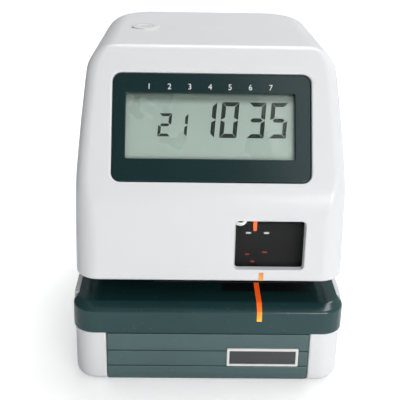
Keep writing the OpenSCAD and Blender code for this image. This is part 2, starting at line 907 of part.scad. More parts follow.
module at_frame_screws() {
    for (x = [-frame_screw_x, frame_screw_x])
        for (d = frame_screw_ds)
            translate([x, fy(d), 0])
                children();
}

module frame_screws() {
    color([0.70, 0.71, 0.72])
    at_frame_screws()
        translate([0, 0, deck_up])
            screw(2.8, 1.8, 1.3, 10);
}

module at_spacers() {
    for (x = spacer_xs)
        for (d = spacer_ds)
            translate([x, fy(d), 0])
                children();
}

module board_spacers() {
    color([0.80, 0.72, 0.45])
    at_spacers()
        translate([0, 0, side_top + bracket_t])
            difference() {
                cylinder(r = 3, h = board_z - side_top - bracket_t);
                translate([0, 0, 1])
                    cylinder(r = 1.2, h = 10);
            }
}

module main_board() {
    color([0.10, 0.40, 0.22])
    difference() {
        block(-board_half, board_half, board_d, board_end_d, board_z, board_top);
        at_spacers()
            translate([0, 0, board_z - cut])
                cylinder(r = 1.2, h = board_t + 2 * cut);
    }
}

module board_chips() {
    color([0.09, 0.09, 0.10])
    for (c = chips)
        block(c[0], c[0] + c[2], board_d + c[1], board_d + c[1] + c[3], board_top,
            board_top + c[4]);
}

module board_capacitors() {
    color([0.14, 0.20, 0.42])
    for (c = capacitors)
        post(c[0], board_d + c[1], board_top, board_top + c[3], c[2]);
}

button_r = 1.75;

module button_switches() {
    color([0.20, 0.20, 0.21])
    for (x = button_xs)
        difference() {
            block(x - 3, x + 3, button_d - 3, button_d + 3, board_top, board_top + 3.6);
            post(x, button_d, board_top + 0.6, board_top + 5, button_r + run);
        }
}

module setting_button(x) {
    post(x, button_d, board_top + 0.6 + button_travel + gap, board_top + 6, button_r);
    post(x, button_d, board_top + 3.6 + button_travel + gap, board_top + 7.2, 2.8);
}

module setting_button_1() {
    color([0.85, 0.85, 0.83])
    setting_button(button_xs[0]);
}

module setting_button_2() {
    color([0.85, 0.85, 0.83])
    setting_button(button_xs[1]);
}

module setting_button_3() {
    color([0.80, 0.28, 0.20])
    setting_button(button_xs[2]);
}

module hinge_pins() {
    color([0.75, 0.76, 0.77])
    for (side = [-1, 1])
        bar(side * ear_x - 6.5, side * ear_x + 6.5, hinge_d, hinge_z, pin_r - 0.02);
}

/* ---- Moving print parts ---- */

module carriage() {
    x0 = home_x - carriage_w / 2;
    x1 = home_x + carriage_w / 2;
    arm = 6;
    run_d = belt_d - belt_in;
    color([0.30, 0.31, 0.33])
    difference() {
        union() {
            block(x0, x1, rod_d - 6, rear_rod_d + 5, rod_z - 6, rod_z + 6);
            block(x0, x0 + arm, rear_rod_d + 4, run_d + 3, rod_z + 3, belt_z + belt_w + 2);
        }
        bar(x0 - cut, x1 + cut, rod_d, rod_z, rod_r + run);
        bar(x0 - cut, x1 + cut, rear_rod_d, rod_z, rear_rod_r + run);
        block(x0 - cut, x0 + arm + cut, run_d - belt_t - gap, run_d + gap, belt_z + 0.5 - gap,
            belt_z + belt_w + 0.5 + gap);
        // Relief of the middle of the block
        block(x0 + 4, x1 - 4, rod_d + 5, rear_rod_d - 5, rod_z - 6 - cut, rod_z + 2);
    }
}

module print_head() {
    color([0.42, 0.43, 0.45])
    difference() {
        block(home_x - 11, home_x + 11, 18.5, rod_d - 6, deck_up + 2.5, belt_z + 5);
        for (i = [0:3])
            block(home_x - 12, home_x + 12, 17, 24, deck_up + 10 + i * 4, deck_up + 12 + i * 4);
    }
}

module print_nose() {
    color([0.12, 0.12, 0.13])
    union() {
        block(home_x - nose_w / 2, home_x + nose_w / 2, nose_d - 4.5, nose_d + 4.5,
            ribbon_z + 3, deck_up + 2.5);
        block(home_x - 3, home_x + 3, nose_d - 2, nose_d + 2, ribbon_z + ribbon_t + gap,
            ribbon_z + 3.5);
    }
}

module pulley(r, z) {
    difference() {
        union() {
            cylinder(r = r, h = z);
            cylinder(r = r + belt_t + 0.8, h = 0.35);
        }
        for (i = [0:11])
            rotate([0, 0, i * 30])
                translate([r, 0, 0.8])
                    cylinder(r = 0.55, h = z);
    }
}

module motor_pulley() {
    color([0.80, 0.80, 0.78])
    translate([motor_x, fy(belt_d), 0]) {
        translate([0, 0, belt_z - 0.2])
            pulley(pulley_r, belt_w + 1.4);
        translate([0, 0, deck_up + 5])
            cylinder(r = shaft_r, h = belt_z + belt_w + 3 - deck_up - 5);
    }
}

module idler_pulley() {
    color([0.80, 0.80, 0.78])
    translate([idler_x, fy(belt_d), belt_z - 0.2])
        difference() {
            pulley(pulley_r, belt_w + 1.4);
            translate([0, 0, -cut])
                cylinder(r = post_r + run, h = belt_w + 4);
        }
}

module ribbon_knob() {
    color([0.85, 0.42, 0.16])
    difference() {
        union() {
            post(knob_x, knob_d, cassette_z + 4, cassette_z + cassette_h + 2, post_r);
            post(knob_x, knob_d, cassette_z + cassette_h + gap, cassette_z + cassette_h + 5, knob_r);
        }
        for (i = [0:15])
            translate([knob_x, fy(knob_d), 0])
                rotate([0, 0, i * 22.5])
                    translate([knob_r + 0.3, 0, cassette_z + cassette_h])
                        cylinder(r = 0.8, h = 6);
        block(knob_x - 5, knob_x + 5, knob_d - 0.8, knob_d + 0.8, cassette_z + cassette_h + 3.5,
            cassette_z + cassette_h + 6);
    }
}

module trigger_lever() {
    z = deck_up + 5;
    x0 = lever_x - lever_w / 2;
    x1 = lever_x + lever_w / 2;
    color([0.90, 0.90, 0.88])
    difference() {
        union() {
            bar(x0, x1, lever_d, z, 3);
            profile(x0 + 1.5, x1 - 1.5, [
                [lever_d - 2.4, z], [lever_d - 5.5, guide_z + 1], [lever_d - 5, table_z + 1.2],
                [lever_d - 3.5, table_z + 1.2], [lever_d - 3, guide_z + 1], [lever_d + 1.5, z]]);
            profile(x0 + 1.5, x1 - 1.5, [
                [lever_d - 1.5, z], [lever_d + 2, z], [switch_d + 0.3, deck_up + 11],
                [switch_d + 0.3, deck_up + 13.5], [switch_d - 1.4, deck_up + 13.5],
                [lever_d, deck_up + 9]]);
        }
        bar(x0 - cut, x1 + cut, lever_d, z, lever_pin_r + run);
    }
}

/* ---- Head cover and display ---- */

module head_shell() {
    difference() {
        loft(concat([head_ring(lip_z, 0, body_h)],
            [for (z = head_levels(body_h, crown_r)) head_ring(z, 0, body_h)]));
        loft(concat([head_ring(lip_z - cut, wall, body_h - wall)],
            [for (z = head_levels(body_h - wall, crown_r - wall))
                head_ring(z, wall, body_h - wall)]));
    }
}

module head_cover() {
    lug_x = ear_x - ear_w / 2 - 0.5;
    color([0.87, 0.89, 0.92])
    difference() {
        union() {
            head_shell();
            for (side = [-1, 1]) {
                bar(side * lug_x - 2, side * lug_x + 2, hinge_d, hinge_z, ear_r);
                block(side * lug_x - 2, side * lug_x + 2, hinge_d, head_rear - 2,
                    hinge_z - ear_r, hinge_z + ear_r);
            }
        }
        for (side = [-1, 1])
            bar(side * lug_x - 3, side * lug_x + 3, hinge_d, hinge_z, pin_r + run);
        // Display opening
        on_slope()
            translate([0, bezel_v + bezel_h / 2, 0])
                rounded_plate(bezel_w + 2 * gap, bezel_h + 2 * gap, bezel_r, -wall - 4, 4);
        // Viewing window
        block(view_x - view_w / 2, view_x + view_w / 2, -cut, head_in + wall + cut,
            lip_z + view_up, lip_z + view_up + view_h);
        // Inlay on the lip
        block(sight_x - 1.3, sight_x + 1.3, -cut, head_in + 0.4, lip_z - cut, lip_z + 5.6);
        // Key lock
        post(lock_x, lock_d, lip_z + 60, body_h + cut, lock_r - 2 + 0.1);
        post(lock_x, lock_d, lock_seat_z, body_h + cut, lock_r + 0.2);
    }
}

lens_t = 1.5;
flange_t = 2;
panel_t = 2.8;
glass_low = bezel_v + glass_v;
glass_mid = glass_low + glass_h / 2;
glass_x = -0.8;
bezel_mid = bezel_v + bezel_h / 2;
bezel_back = -wall - flange_t;

module display_bezel() {
    color([0.10, 0.17, 0.14])
    on_slope()
        difference() {
            union() {
                translate([0, bezel_mid, 0])
                    rounded_plate(bezel_w, bezel_h, bezel_r, bezel_back, -0.5);
                // Flange behind the skin, short at the foot where the brow starts
                translate([0, bezel_mid + 0.5, 0])
                    rounded_plate(bezel_w + 5, bezel_h + 2.5, bezel_r, bezel_back, -wall - 0.05);
                for (x = [-bezel_w / 2 + 1, bezel_w / 2 - 1])
                    for (v = [glass_low - 6, glass_low + glass_h + 6])
                        translate([x, v, bezel_back - panel_t])
                            cylinder(r = 2, h = panel_t + 1);
            }
            translate([glass_x - glass_w / 2, glass_low, bezel_back - cut])
                cube([glass_w, glass_h, 20]);
            translate([glass_x - glass_w / 2 - 2, glass_low - 2, bezel_back - cut])
                cube([glass_w + 4, glass_h + 4, cut + lens_t]);
        }
}

module display_lens() {
    color([0.80, 0.86, 0.84, 0.4])
    on_slope()
        translate([glass_x - glass_w / 2 - 1.8, glass_low - 1.8, bezel_back])
            cube([glass_w + 3.6, glass_h + 3.6, lens_t]);
}

module lcd_panel() {
    color([0.68, 0.72, 0.66])
    on_slope()
        translate([glass_x - glass_w / 2 - 3, glass_low - 3, bezel_back - panel_t])
            cube([glass_w + 6, glass_h + 6, panel_t]);
}

module lcd_board() {
    color([0.10, 0.40, 0.22])
    on_slope()
        translate([0, glass_mid, bezel_back - panel_t - board_t])
            linear_extrude(board_t)
                square([bezel_w + 2, glass_h + 17], center = true);
}

module lcd_screws() {
    color([0.70, 0.71, 0.72])
    on_slope()
        for (x = [-bezel_w / 2 + 1, bezel_w / 2 - 1])
            for (v = [glass_low - 6, glass_low + glass_h + 6])
                translate([x, v, bezel_back - panel_t - board_t - 1.2])
                    cylinder(r = 2, h = 1.2);
}

module window_pane() {
    color([0.10, 0.10, 0.11, 0.5])
    block(view_x - view_w / 2 - 3, view_x + view_w / 2 + 3, head_in + wall, head_in + wall + pane_t,
        lip_z + view_up - 2.3, lip_z + view_up + view_h + 2.5);
}

module lip_mark() {
    color([0.98, 0.55, 0.16])
    block(sight_x - 1.2, sight_x + 1.2, head_in + 0.05, head_in + 0.4, lip_z, lip_z + 5.5);
}

module lock_ring() {
    color([0.80, 0.81, 0.82])
    difference() {
        union() {
            post(lock_x, lock_d, lock_seat_z, lock_seat_z + 1.4, lock_r);
            post(lock_x, lock_d, cam_z + 2.5, lock_seat_z + 0.5, lock_r - 2);
        }
        post(lock_x, lock_d, cam_z, lock_seat_z + 2, lock_r - 3.5 + run);
    }
}

module lock_nut() {
    top = top_at(lock_d + lock_r + 3) - wall - gap;
    color([0.70, 0.71, 0.72])
    difference() {
        translate([lock_x, fy(lock_d), top - 3])
            cylinder(r = lock_r + 2, h = 3, $fn = 6);
        post(lock_x, lock_d, top - 4, top + cut, lock_r - 2 + 0.1);
    }
}

module lock_plug() {
    color([0.72, 0.73, 0.74])
    difference() {
        union() {
            post(lock_x, lock_d, cam_z, lock_seat_z + 1.1, lock_r - 3.5);
            // Cam, pointing to the rear while the lock is open
            block(lock_x - 3.5, lock_x + 3.5, lock_d, lock_d + cam_len, cam_z, cam_z + 2);
            post(lock_x, lock_d, cam_z, cam_z + 2, 5.5);
        }
        block(lock_x - 3, lock_x + 3, lock_d - 0.6, lock_d + 0.6, lock_seat_z - 4, lock_seat_z + 3);
    }
}

lower_housing();
base_plate();
rubber_feet();
base_screws();
front_band();
badge_frame();
badge_field();
cord_gland();
transformer_core();
transformer_coil();
battery_pack();
card_table();
sight_line();
platen();
head_frame();
paper_guide();
ribbon_mask();
guide_rods();
belt_motor();
idler_post();
drive_belt();
ribbon_cassette();
ink_ribbon();
microswitch();
lever_pin();
board_bracket();
bracket_screws();
frame_screws();
board_spacers();
main_board();
board_chips();
board_capacitors();
button_switches();
hinge_pins();
carriage();
print_head();
print_nose();
motor_pulley();
idler_pulley();
ribbon_knob();
trigger_lever();
setting_button_1();
setting_button_2();
setting_button_3();
head_cover();
display_bezel();
display_lens();
lcd_panel();
lcd_board();
lcd_screws();
window_pane();
lip_mark();
lock_ring();
lock_nut();
lock_plug();
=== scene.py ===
"""Date and time stamp machine: the finish of every piece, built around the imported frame.

Lengths are in metres, +Z is up and the front faces -Y. Sizes written in mm() are millimetres.
"""

import json
import math

import bmesh
import bpy
from mathutils import Matrix, Vector


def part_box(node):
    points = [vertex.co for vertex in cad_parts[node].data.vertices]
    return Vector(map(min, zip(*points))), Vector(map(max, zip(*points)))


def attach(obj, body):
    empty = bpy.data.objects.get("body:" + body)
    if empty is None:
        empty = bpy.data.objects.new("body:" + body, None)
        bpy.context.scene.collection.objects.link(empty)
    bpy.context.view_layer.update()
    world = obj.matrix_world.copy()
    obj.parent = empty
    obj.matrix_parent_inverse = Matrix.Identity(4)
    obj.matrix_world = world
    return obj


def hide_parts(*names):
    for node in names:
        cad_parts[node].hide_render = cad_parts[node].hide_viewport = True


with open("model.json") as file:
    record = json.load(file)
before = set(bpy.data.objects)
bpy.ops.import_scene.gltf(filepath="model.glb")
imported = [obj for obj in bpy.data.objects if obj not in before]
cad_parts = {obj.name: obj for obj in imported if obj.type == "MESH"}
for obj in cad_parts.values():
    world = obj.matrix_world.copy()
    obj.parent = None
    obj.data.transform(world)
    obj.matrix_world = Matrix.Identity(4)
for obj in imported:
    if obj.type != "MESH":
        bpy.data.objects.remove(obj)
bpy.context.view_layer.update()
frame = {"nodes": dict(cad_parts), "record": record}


def mm(*sizes):
    """Millimetres in metres: a length, a point, or several points."""
    metres = tuple(mm(*part) if isinstance(part, tuple) else part * 0.001 for part in sizes)
    return metres[0] if len(metres) == 1 else metres


# ---- Camera, at the photograph's viewing angle ----

PHOTO_WIDTH = 400
CAMERA_PLACE = mm(-14.5, -511.3, 285.4)
CAMERA_YAW = math.radians(1.157)
CAMERA_PITCH = math.radians(22.06)
CAMERA_ROLL = math.radians(1.066)
CAMERA_FOCAL_PIXELS = 868.6
SENSOR_WIDTH = 36.0


def make_camera():
    flat = math.cos(CAMERA_PITCH)
    ahead = Vector(
        (math.sin(CAMERA_YAW) * flat, math.cos(CAMERA_YAW) * flat, -math.sin(CAMERA_PITCH)))
    level = Vector((math.cos(CAMERA_YAW), -math.sin(CAMERA_YAW), 0))
    upright = level.cross(ahead)
    across = math.cos(CAMERA_ROLL) * level + math.sin(CAMERA_ROLL) * upright
    upward = -math.sin(CAMERA_ROLL) * level + math.cos(CAMERA_ROLL) * upright
    camera = bpy.data.objects.new("camera", bpy.data.cameras.new("camera"))
    axes = Matrix((across, upward, -ahead)).transposed().to_4x4()
    camera.matrix_world = Matrix.Translation(CAMERA_PLACE) @ axes
    camera.data.sensor_width = SENSOR_WIDTH
    camera.data.lens = CAMERA_FOCAL_PIXELS * SENSOR_WIDTH / PHOTO_WIDTH
    camera.data.clip_start = 0.01
    bpy.context.scene.collection.objects.link(camera)
    bpy.context.scene.camera = camera


make_camera()

# ---- Sizes that the pieces share, from the frame where it has them ----

head_low, head_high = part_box("head_cover")
table_low, table_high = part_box("card_table")
housing_low, housing_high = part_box("lower_housing")
pane_low, pane_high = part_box("window_pane")
band_low, band_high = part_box("front_band")
mark_low, mark_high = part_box("lip_mark")
line_low, line_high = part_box("sight_line")
mask_low, mask_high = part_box("ribbon_mask")
ring_low, ring_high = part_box("lock_ring")
plug_low, plug_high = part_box("lock_plug")

BASE_IN = mm(0.8)
FRONT = housing_low.y - BASE_IN
REAR = housing_high.y
WALL = mm(2.5)

LIP, TOP = head_low.z, head_high.z
HEAD_HALF = head_high.x
HEAD_FRONT, HEAD_REAR = head_low.y, head_high.y
LEAN = math.radians(28)
BROW = LIP + mm(47.7)
BROW_RADIUS = mm(36)
CREASE_RADIUS = mm(5)
SHOULDER_RADIUS = mm(14)
CROWN_RADIUS = mm(20)
HEAD_FRONT_RADIUS = mm(13)
SLOPE_EDGE_RADIUS = mm(7)
HEAD_REAR_RADIUS = mm(36)
SIDE_IN = mm(7.5)
REAR_IN = mm(3)
TOP_FALL = mm(2.5)
REAR_DRAFT = 0.03
EDGE_BLEND = mm(15)

# ---- Making meshes ----


def shift(x, y, z):
    return Matrix.Translation((x, y, z))


def turn(degrees, axis):
    return Matrix.Rotation(math.radians(degrees), 4, axis)


# The slope: x across, y up the slope, z out of the face
SLOPE = shift(0, HEAD_FRONT, BROW) @ Matrix.Rotation(math.pi / 2 - LEAN, 4, "X")

# What stands a shape made along Z in the upright front: x across, y up, z forward
UPRIGHT = turn(90, "X")


def new_piece(name, shape):
    """A piece from a bmesh, which is used up."""
    mesh = bpy.data.meshes.new(name)
    shape.to_mesh(mesh)
    shape.free()
    piece = bpy.data.objects.new(name, mesh)
    bpy.context.scene.collection.objects.link(piece)
    return piece


def plain_mesh(piece):
    """A mesh of what the piece and its modifiers make."""
    bpy.context.view_layer.update()
    seen = piece.evaluated_get(bpy.context.evaluated_depsgraph_get())
    return bpy.data.meshes.new_from_object(seen)


def settle(piece):
    mesh = plain_mesh(piece)
    piece.modifiers.clear()
    piece.data = mesh
    mesh.name = piece.name
    return piece


def loft(name, rings):
    """A closed surface through rings of equal count, with flat ends."""
    shape = bmesh.new()
    rows = [[shape.verts.new(point) for point in ring] for ring in rings]
    for low, high in zip(rows, rows[1:]):
        for i, corner in enumerate(low):
            j = (i + 1) % len(low)
            shape.faces.new((corner, low[j], high[j], high[i]))
    shape.faces.new(rows[0])
    shape.faces.new(rows[-1])
    bmesh.ops.recalc_face_normals(shape, faces=shape.faces)
    return new_piece(name, shape)


def at(points, z):
    return [(x, y, z) for x, y in points]


def block(name, low, high):
    """A block from its lowest and highest corners."""
    ring = [(low[0], low[1]), (high[0], low[1]), (high[0], high[1]), (low[0], high[1])]
    return loft(name, [at(ring, z) for z in (low[2], high[2])])


def turned(name, profile, place=(0, 0), steps=64):
    """A solid of revolution about an upright line, from [radius, height] points."""
    angles = [math.tau * i / steps for i in range(steps)]
    x, y = place
    return loft(name, [
        [(x + r * math.cos(a), y + r * math.sin(a), z) for a in angles] for r, z in profile])


def cut(piece, *tools, how="DIFFERENCE"):
    """Cuts or joins the piece with each tool, which is used up."""
    for tool in tools:
        step = piece.modifiers.new("cut", "BOOLEAN")
        step.operation = how
        step.solver = "EXACT"
        step.object = tool
        settle(piece)
        bpy.data.objects.remove(tool)
    return piece


def soften(piece, width, steps=2, angle=30):
    """Rounds the piece's sharp edges."""
    step = piece.modifiers.new("soften", "BEVEL")
    step.width = width
    step.segments = steps
    step.limit_method = "ANGLE"
    step.angle_limit = math.radians(angle)
    step.use_clamp_overlap = True
    return settle(piece)


MERGE_DISTANCE = 1e-6


def smooth(piece, angle=32):
    """Shades the piece smooth, apart from edges sharper than the angle."""
    shape = bmesh.new()
    shape.from_mesh(piece.data)
    bmesh.ops.remove_doubles(shape, verts=shape.verts, dist=MERGE_DISTANCE)
    for face in shape.faces:
        face.smooth = True
    for edge in shape.edges:
        edge.smooth = len(edge.link_faces) == 2 and edge.calc_face_angle(0) < math.radians(angle)
    shape.to_mesh(piece.data)
    shape.free()
    even = piece.modifiers.new("even", "WEIGHTED_NORMAL")
    even.keep_sharp = True
    even.weight = 90
    return settle(piece)


def close_bore(piece):
    """Takes the flat ends off a turned tube and joins its inner wall up instead."""
    shape = bmesh.new()
    shape.from_mesh(piece.data)
    ends = sorted(shape.faces, key=lambda face: -len(face.verts))[:2]
    bmesh.ops.delete(shape, geom=ends, context="FACES_ONLY")
    edges = [edge for edge in shape.edges if len(edge.link_faces) == 1]
    bmesh.ops.bridge_loops(shape, edges=edges)
    bmesh.ops.recalc_face_normals(shape, faces=shape.faces)
    shape.to_mesh(piece.data)
    shape.free()
    return piece


def moved(piece, matrix):
    piece.data.transform(matrix)
    return piece


def joined(name, pieces):
    """One piece from several, each solid kept as it is."""
    shape = bmesh.new()
    for piece in pieces:
        shape.from_mesh(piece.data)
        bpy.data.objects.remove(piece)
    return new_piece(name, shape)


def hand_over(piece, body, slot, *nodes, finish=None):
    """Gives a piece its slot's finish or another one, its body, and the CAD nodes it replaces."""
    piece.data.materials.clear()
    piece.data.materials.append(finishes[finish or slot])
    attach(piece, body)
    if nodes:
        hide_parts(*nodes)


def arc(x, y, radius, start, end, steps):
    """Points of an arc, with its angles in degrees."""
    angles = [math.radians(start + (end - start) * i / steps) for i in range(steps + 1)]
    return [(x + radius * math.cos(a), y + radius * math.sin(a)) for a in angles]


def corners(half, front, back, f, r, front_steps, rear_steps):
    """The four corners of an outline seen from above, with radii f in front and r behind."""
    return [
        arc(half - f, front + f, f, -90, 0, front_steps),
        arc(half - r, back - r, r, 0, 90, rear_steps),
        arc(-half + r, back - r, r, 90, 180, rear_steps),
        arc(-half + f, front + f, f, 180, 270, front_steps),
    ]


def plan(half, front, back, front_radius, rear_radius, steps=10):
    """An outline seen from above, with round front and rear corners."""
    return sum(corners(half, front, back, front_radius, rear_radius, steps, steps), [])


def rounded_box(width, height, radius, steps=8):
    """An outline with four round corners, about its middle."""
    return plan(width / 2, -height / 2, height / 2, radius, radius, steps)


def quarter(radius, steps=6):
    """Inset and distance from the end, round a quarter turn, from the flat end to the side."""
    angles = [math.pi / 2 * i / steps for i in range(steps + 1)]
    return [(radius * (1 - math.sin(a)), radius * (1 - math.cos(a))) for a in angles]


def box_of(name, low, high, grow_x, grow_y, grow_z):
    """A block round a box of the frame. Each growth is (below, above)."""
    return block(
        name, (low.x - grow_x[0], low.y - grow_y[0], low.z - grow_z[0]),
        (high.x + grow_x[1], high.y + grow_y[1], high.z + grow_z[1]))

# ---- Finishes ----


def new_finish(name, colour, rough, metallic=0.0, **sockets):
    material = bpy.data.materials.new(name)
    material.use_nodes = True
    shader = shader_of(material)
    shader.inputs["Base Color"].default_value = (*colour, 1)
    shader.inputs["Roughness"].default_value = rough
    shader.inputs["Metallic"].default_value = metallic
    for socket, value in sockets.items():
        shader.inputs[socket.replace("_", " ")].default_value = value
    material.diffuse_color = (*colour, 1)
    return material


def shader_of(material):
    return material.node_tree.nodes["Principled BSDF"]


def add(owner, kind, feeds=None, **settings):
    """A node in a material, world or node group. feeds gives its sockets outputs or values."""
    tree = getattr(owner, "node_tree", owner)
    made = tree.nodes.new(kind if kind.startswith("Geometry") else "ShaderNode" + kind)
    for key, value in settings.items():
        setattr(made, key, value)
    for socket, source in (feeds or {}).items():
        if isinstance(source, bpy.types.NodeSocket):
            tree.links.new(source, made.inputs[socket])
        else:
            made.inputs[socket].default_value = source
    return made


def dress(material, **outputs):
    """Feeds the shader's sockets, such as Base_Color, from outputs."""
    for socket, output in outputs.items():
        material.node_tree.links.new(
            output, shader_of(material).inputs[socket.replace("_", " ")])


def place_in(material, stretch=(1, 1, 1), rotation=(0, 0, 0)):
    """Object coordinates, stretched and turned."""
    where = add(material, "TexCoord").outputs["Object"]
    feeds = {"Vector": where, "Scale": stretch, "Rotation": rotation}
    return add(material, "Mapping", feeds).outputs[0]


def noise(material, scale, detail=3, stretch=(1, 1, 1), rotation=(0, 0, 0), rough=0.5):
    feeds = {
        "Vector": place_in(material, stretch, rotation), "Scale": scale, "Detail": detail,
        "Roughness": rough,
    }
    return add(material, "TexNoise", feeds).outputs["Fac"]


def between(owner, value, low, high, to_low=0.0, to_high=1.0):
    """The value from low..high, turned into to_low..to_high and held there."""
    feeds = {
        "Value": value, "From Min": low, "From Max": high, "To Min": to_low, "To Max": to_high,
    }
    return add(owner, "MapRange", feeds).outputs["Result"]


def mixed(material, factor, first, second, how="MIX"):
    """The first colour, given over to the second by the factor."""
    factor_socket, first_socket, second_socket = 0, 6, 7
    feeds = {factor_socket: factor}
    for socket, colour in ((first_socket, first), (second_socket, second)):
        feeds[socket] = (*colour, 1) if isinstance(colour, tuple) else colour
    return add(material, "Mix", feeds, data_type="RGBA", blend_type=how).outputs[2]


def raised(material, height, distance, strength=1.0, below=None):
    """A bump, on top of another one."""
    feeds = {"Height": height, "Distance": distance, "Strength": strength}
    if below:
        feeds["Normal"] = below
    return add(material, "Bump", feeds).outputs["Normal"]


def shaded(colour, by):
    return tuple(min(1.0, part * by) for part in colour)


DUST = (0.45, 0.42, 0.38)


def moulded(name, colour, rough, tone, patch, grain, depth, scuffs=0, dust=0, waves=0, **sockets):
    """Moulded plastic: slow changes of tone, spark-eroded grain, rubbed places and fine scuffs."""
    material = new_finish(name, colour, rough, **sockets)
    cloud = between(material, noise(material, patch, 2), 0.2, 0.8)
    tint = mixed(material, cloud, shaded(colour, 1 - tone), shaded(colour, 1 + tone))
    rubbed = noise(material, patch * 5, 3)
    if scuffs:
        scratch = noise(material, 30, 6, (1, 14, 6), (0.3, 0.2, 0.9), 0.7)
        mark = between(material, scratch, 0.62, 0.70, 0, scuffs)
        tint = mixed(material, mark, tint, shaded(colour, 1.6))
    if dust:
        speck = noise(material, 420, 3)
        tint = mixed(material, between(material, speck, 0.66, 0.74, 0, dust), tint, DUST)
    bump = raised(material, noise(material, grain, 2), depth, 0.5)
    if waves:
        bump = raised(material, noise(material, 22, 1), waves, 1.0, bump)
    dress(material, Base_Color=tint, Normal=bump,
          Roughness=between(material, rubbed, 0.2, 0.8, rough * 0.9, rough * 1.1))
    return material


def metal(name, colour, rough, stretch, grain, depth, stain, metallic=1.0):
    """Metal with the lines of its rolling or turning, and faint stains."""
    material = new_finish(name, colour, rough, metallic)
    lines = noise(material, grain, 4, stretch)
    cloud = between(material, noise(material, 35, 5), 0.35, 0.75, 0, stain * 4)
    dress(material, Base_Color=mixed(material, cloud, colour, shaded(colour, 0.72)),
          Roughness=between(material, lines, 0.3, 0.7, rough * 0.75, rough * 1.3),
          Normal=raised(material, lines, depth, 0.6))
    return material


def clear(name, tint, ior):
    """Clear plastic that lets light through for shadow rays, so what is behind it is lit."""
    material = new_finish(name, tint, 0.0, IOR=ior, Transmission_Weight=1.0)
    dress(material, Roughness=between(material, noise(material, 60, 4), 0.45, 0.75, 0.0, 0.05))
    through = add(material, "BsdfTransparent", {"Color": (*tint, 1)}).outputs[0]
    shadow = add(material, "LightPath").outputs["Is Shadow Ray"]
    both = add(material, "MixShader", {0: shadow, 1: shader_of(material).outputs[0], 2: through})
    surface = material.node_tree.nodes["Material Output"].inputs["Surface"]
    material.node_tree.links.new(both.outputs[0], surface)
    return material


def board_finish(name):
    """Green solder mask over faint copper tracks."""
    green, over_copper = (0.012, 0.11, 0.045), (0.05, 0.26, 0.10)
    material = new_finish(name, green, 0.32, Coat_Weight=0.3, Coat_Roughness=0.15)
    tracks = add(material, "TexBrick", {
        "Vector": place_in(material), "Scale": 95.0, "Mortar Size": 0.035, "Mortar Smooth": 0.2,
        "Color1": (0, 0, 0, 1), "Color2": (0.2, 0.2, 0.2, 1), "Mortar": (1, 1, 1, 1),
    })
    line = add(material, "RGBToBW", {0: tracks.outputs["Color"]}).outputs[0]
    copper = between(material, line, 0.3, 0.8, 0, 0.55)
    dress(material, Base_Color=mixed(material, copper, green, over_copper),
          Normal=raised(material, line, mm(0.03), 0.6),
          Roughness=between(material, noise(material, 50, 3), 0.3, 0.7, 0.26, 0.4))
    return material


def rows_of(material, direction, scale, distortion, detail, detail_scale=1.0):
    """Close rows, such as sheets or windings."""
    return add(material, "TexWave", {
        "Vector": place_in(material), "Scale": scale, "Distortion": distortion,
        "Detail": detail, "Detail Scale": detail_scale,
    }, bands_direction=direction).outputs["Fac"]


def lamination_finish(name):
    """Stacked iron sheets of the transformer core, a little rusty."""
    iron, rust = (0.16, 0.15, 0.145), (0.17, 0.07, 0.03)
    material = new_finish(name, iron, 0.45, 0.8)
    sheets = rows_of(material, "Y", 320.0, 0.4, 2.0)
    rusty = between(material, noise(material, 60, 6), 0.55, 0.72, 0, 0.5)
    tint = mixed(material, sheets, shaded(iron, 0.6), shaded(iron, 1.3))
    dress(material, Base_Color=mixed(material, rusty, tint, rust),
          Normal=raised(material, sheets, mm(0.12), 0.8))
    return material


def wound_finish(name, colour, direction, pitch, depth, rough):
    """Tape or fabric, laid in close rows."""
    material = new_finish(name, colour, rough)
    rows = rows_of(material, direction, pitch, 1.2, 3.0, 4.0)
    cloud = between(material, noise(material, 80, 4), 0.35, 0.7)
    tint = mixed(material, rows, shaded(colour, 0.7), shaded(colour, 1.2))
    dress(material, Base_Color=mixed(material, cloud, tint, shaded(colour, 0.85)),
          Roughness=between(material, cloud, 0, 1, rough * 0.85, rough * 1.1),
          Normal=raised(material, rows, depth, 0.8))
    return material


def display_finish(name):
    """The liquid crystal's grey-green ground with painted shade: darker towards its edges, darkest
    along the top as the frame's painted shadow, with a fine grid.
    """
    # The second colour is the painted shadow that the frame throws over the top of the glass
    ground, painted_frame_shadow = (0.240, 0.292, 0.262), (0.075, 0.100, 0.085)
    material = new_finish(name, ground, 0.3, Coat_Weight=0.1, Coat_Roughness=0.15)
    where = add(material, "TexCoord").outputs["Object"]
    on_slope = add(material, "Mapping", {
        "Vector": where, "Location": (0, -HEAD_FRONT, -BROW)}).outputs[0]
    level = add(material, "Mapping", {
        "Vector": on_slope, "Rotation": (-(math.pi / 2 - LEAN), 0, 0)}).outputs[0]
    apart = add(material, "SeparateXYZ", {0: level})
    cloud = between(material, noise(material, 26, 3), 0.3, 0.7)
    tint = mixed(material, cloud, shaded(ground, 0.96), shaded(ground, 1.05))
    # Axis, start, end in millimetres, share and colour of each edge's painted shade; the top one
    # is the frame's painted shadow
    for axis, start, end, share, colour in (
            ("Y", 52.4, 55.6, 0.95, painted_frame_shadow), ("Y", 25, 21, 0.35, shaded(ground, 0.72)),
            ("X", -43, -47, 0.35, shaded(ground, 0.72))):
        edge = between(material, apart.outputs[axis], mm(start), mm(end), 0, share)
        tint = mixed(material, edge, tint, colour)
    grid = add(material, "TexBrick", {
        "Vector": level, "Scale": 2600.0, "Mortar Size": 0.05,
        "Color1": (1, 1, 1, 1), "Color2": (0.97, 0.97, 0.97, 1), "Mortar": (0.86, 0.88, 0.86, 1),
    }, offset=0.0).outputs["Color"]
    dress(material, Base_Color=mixed(material, 1.0, tint, grid, "MULTIPLY"),
          Roughness=between(material, cloud, 0, 1, 0.25, 0.36))
    return material


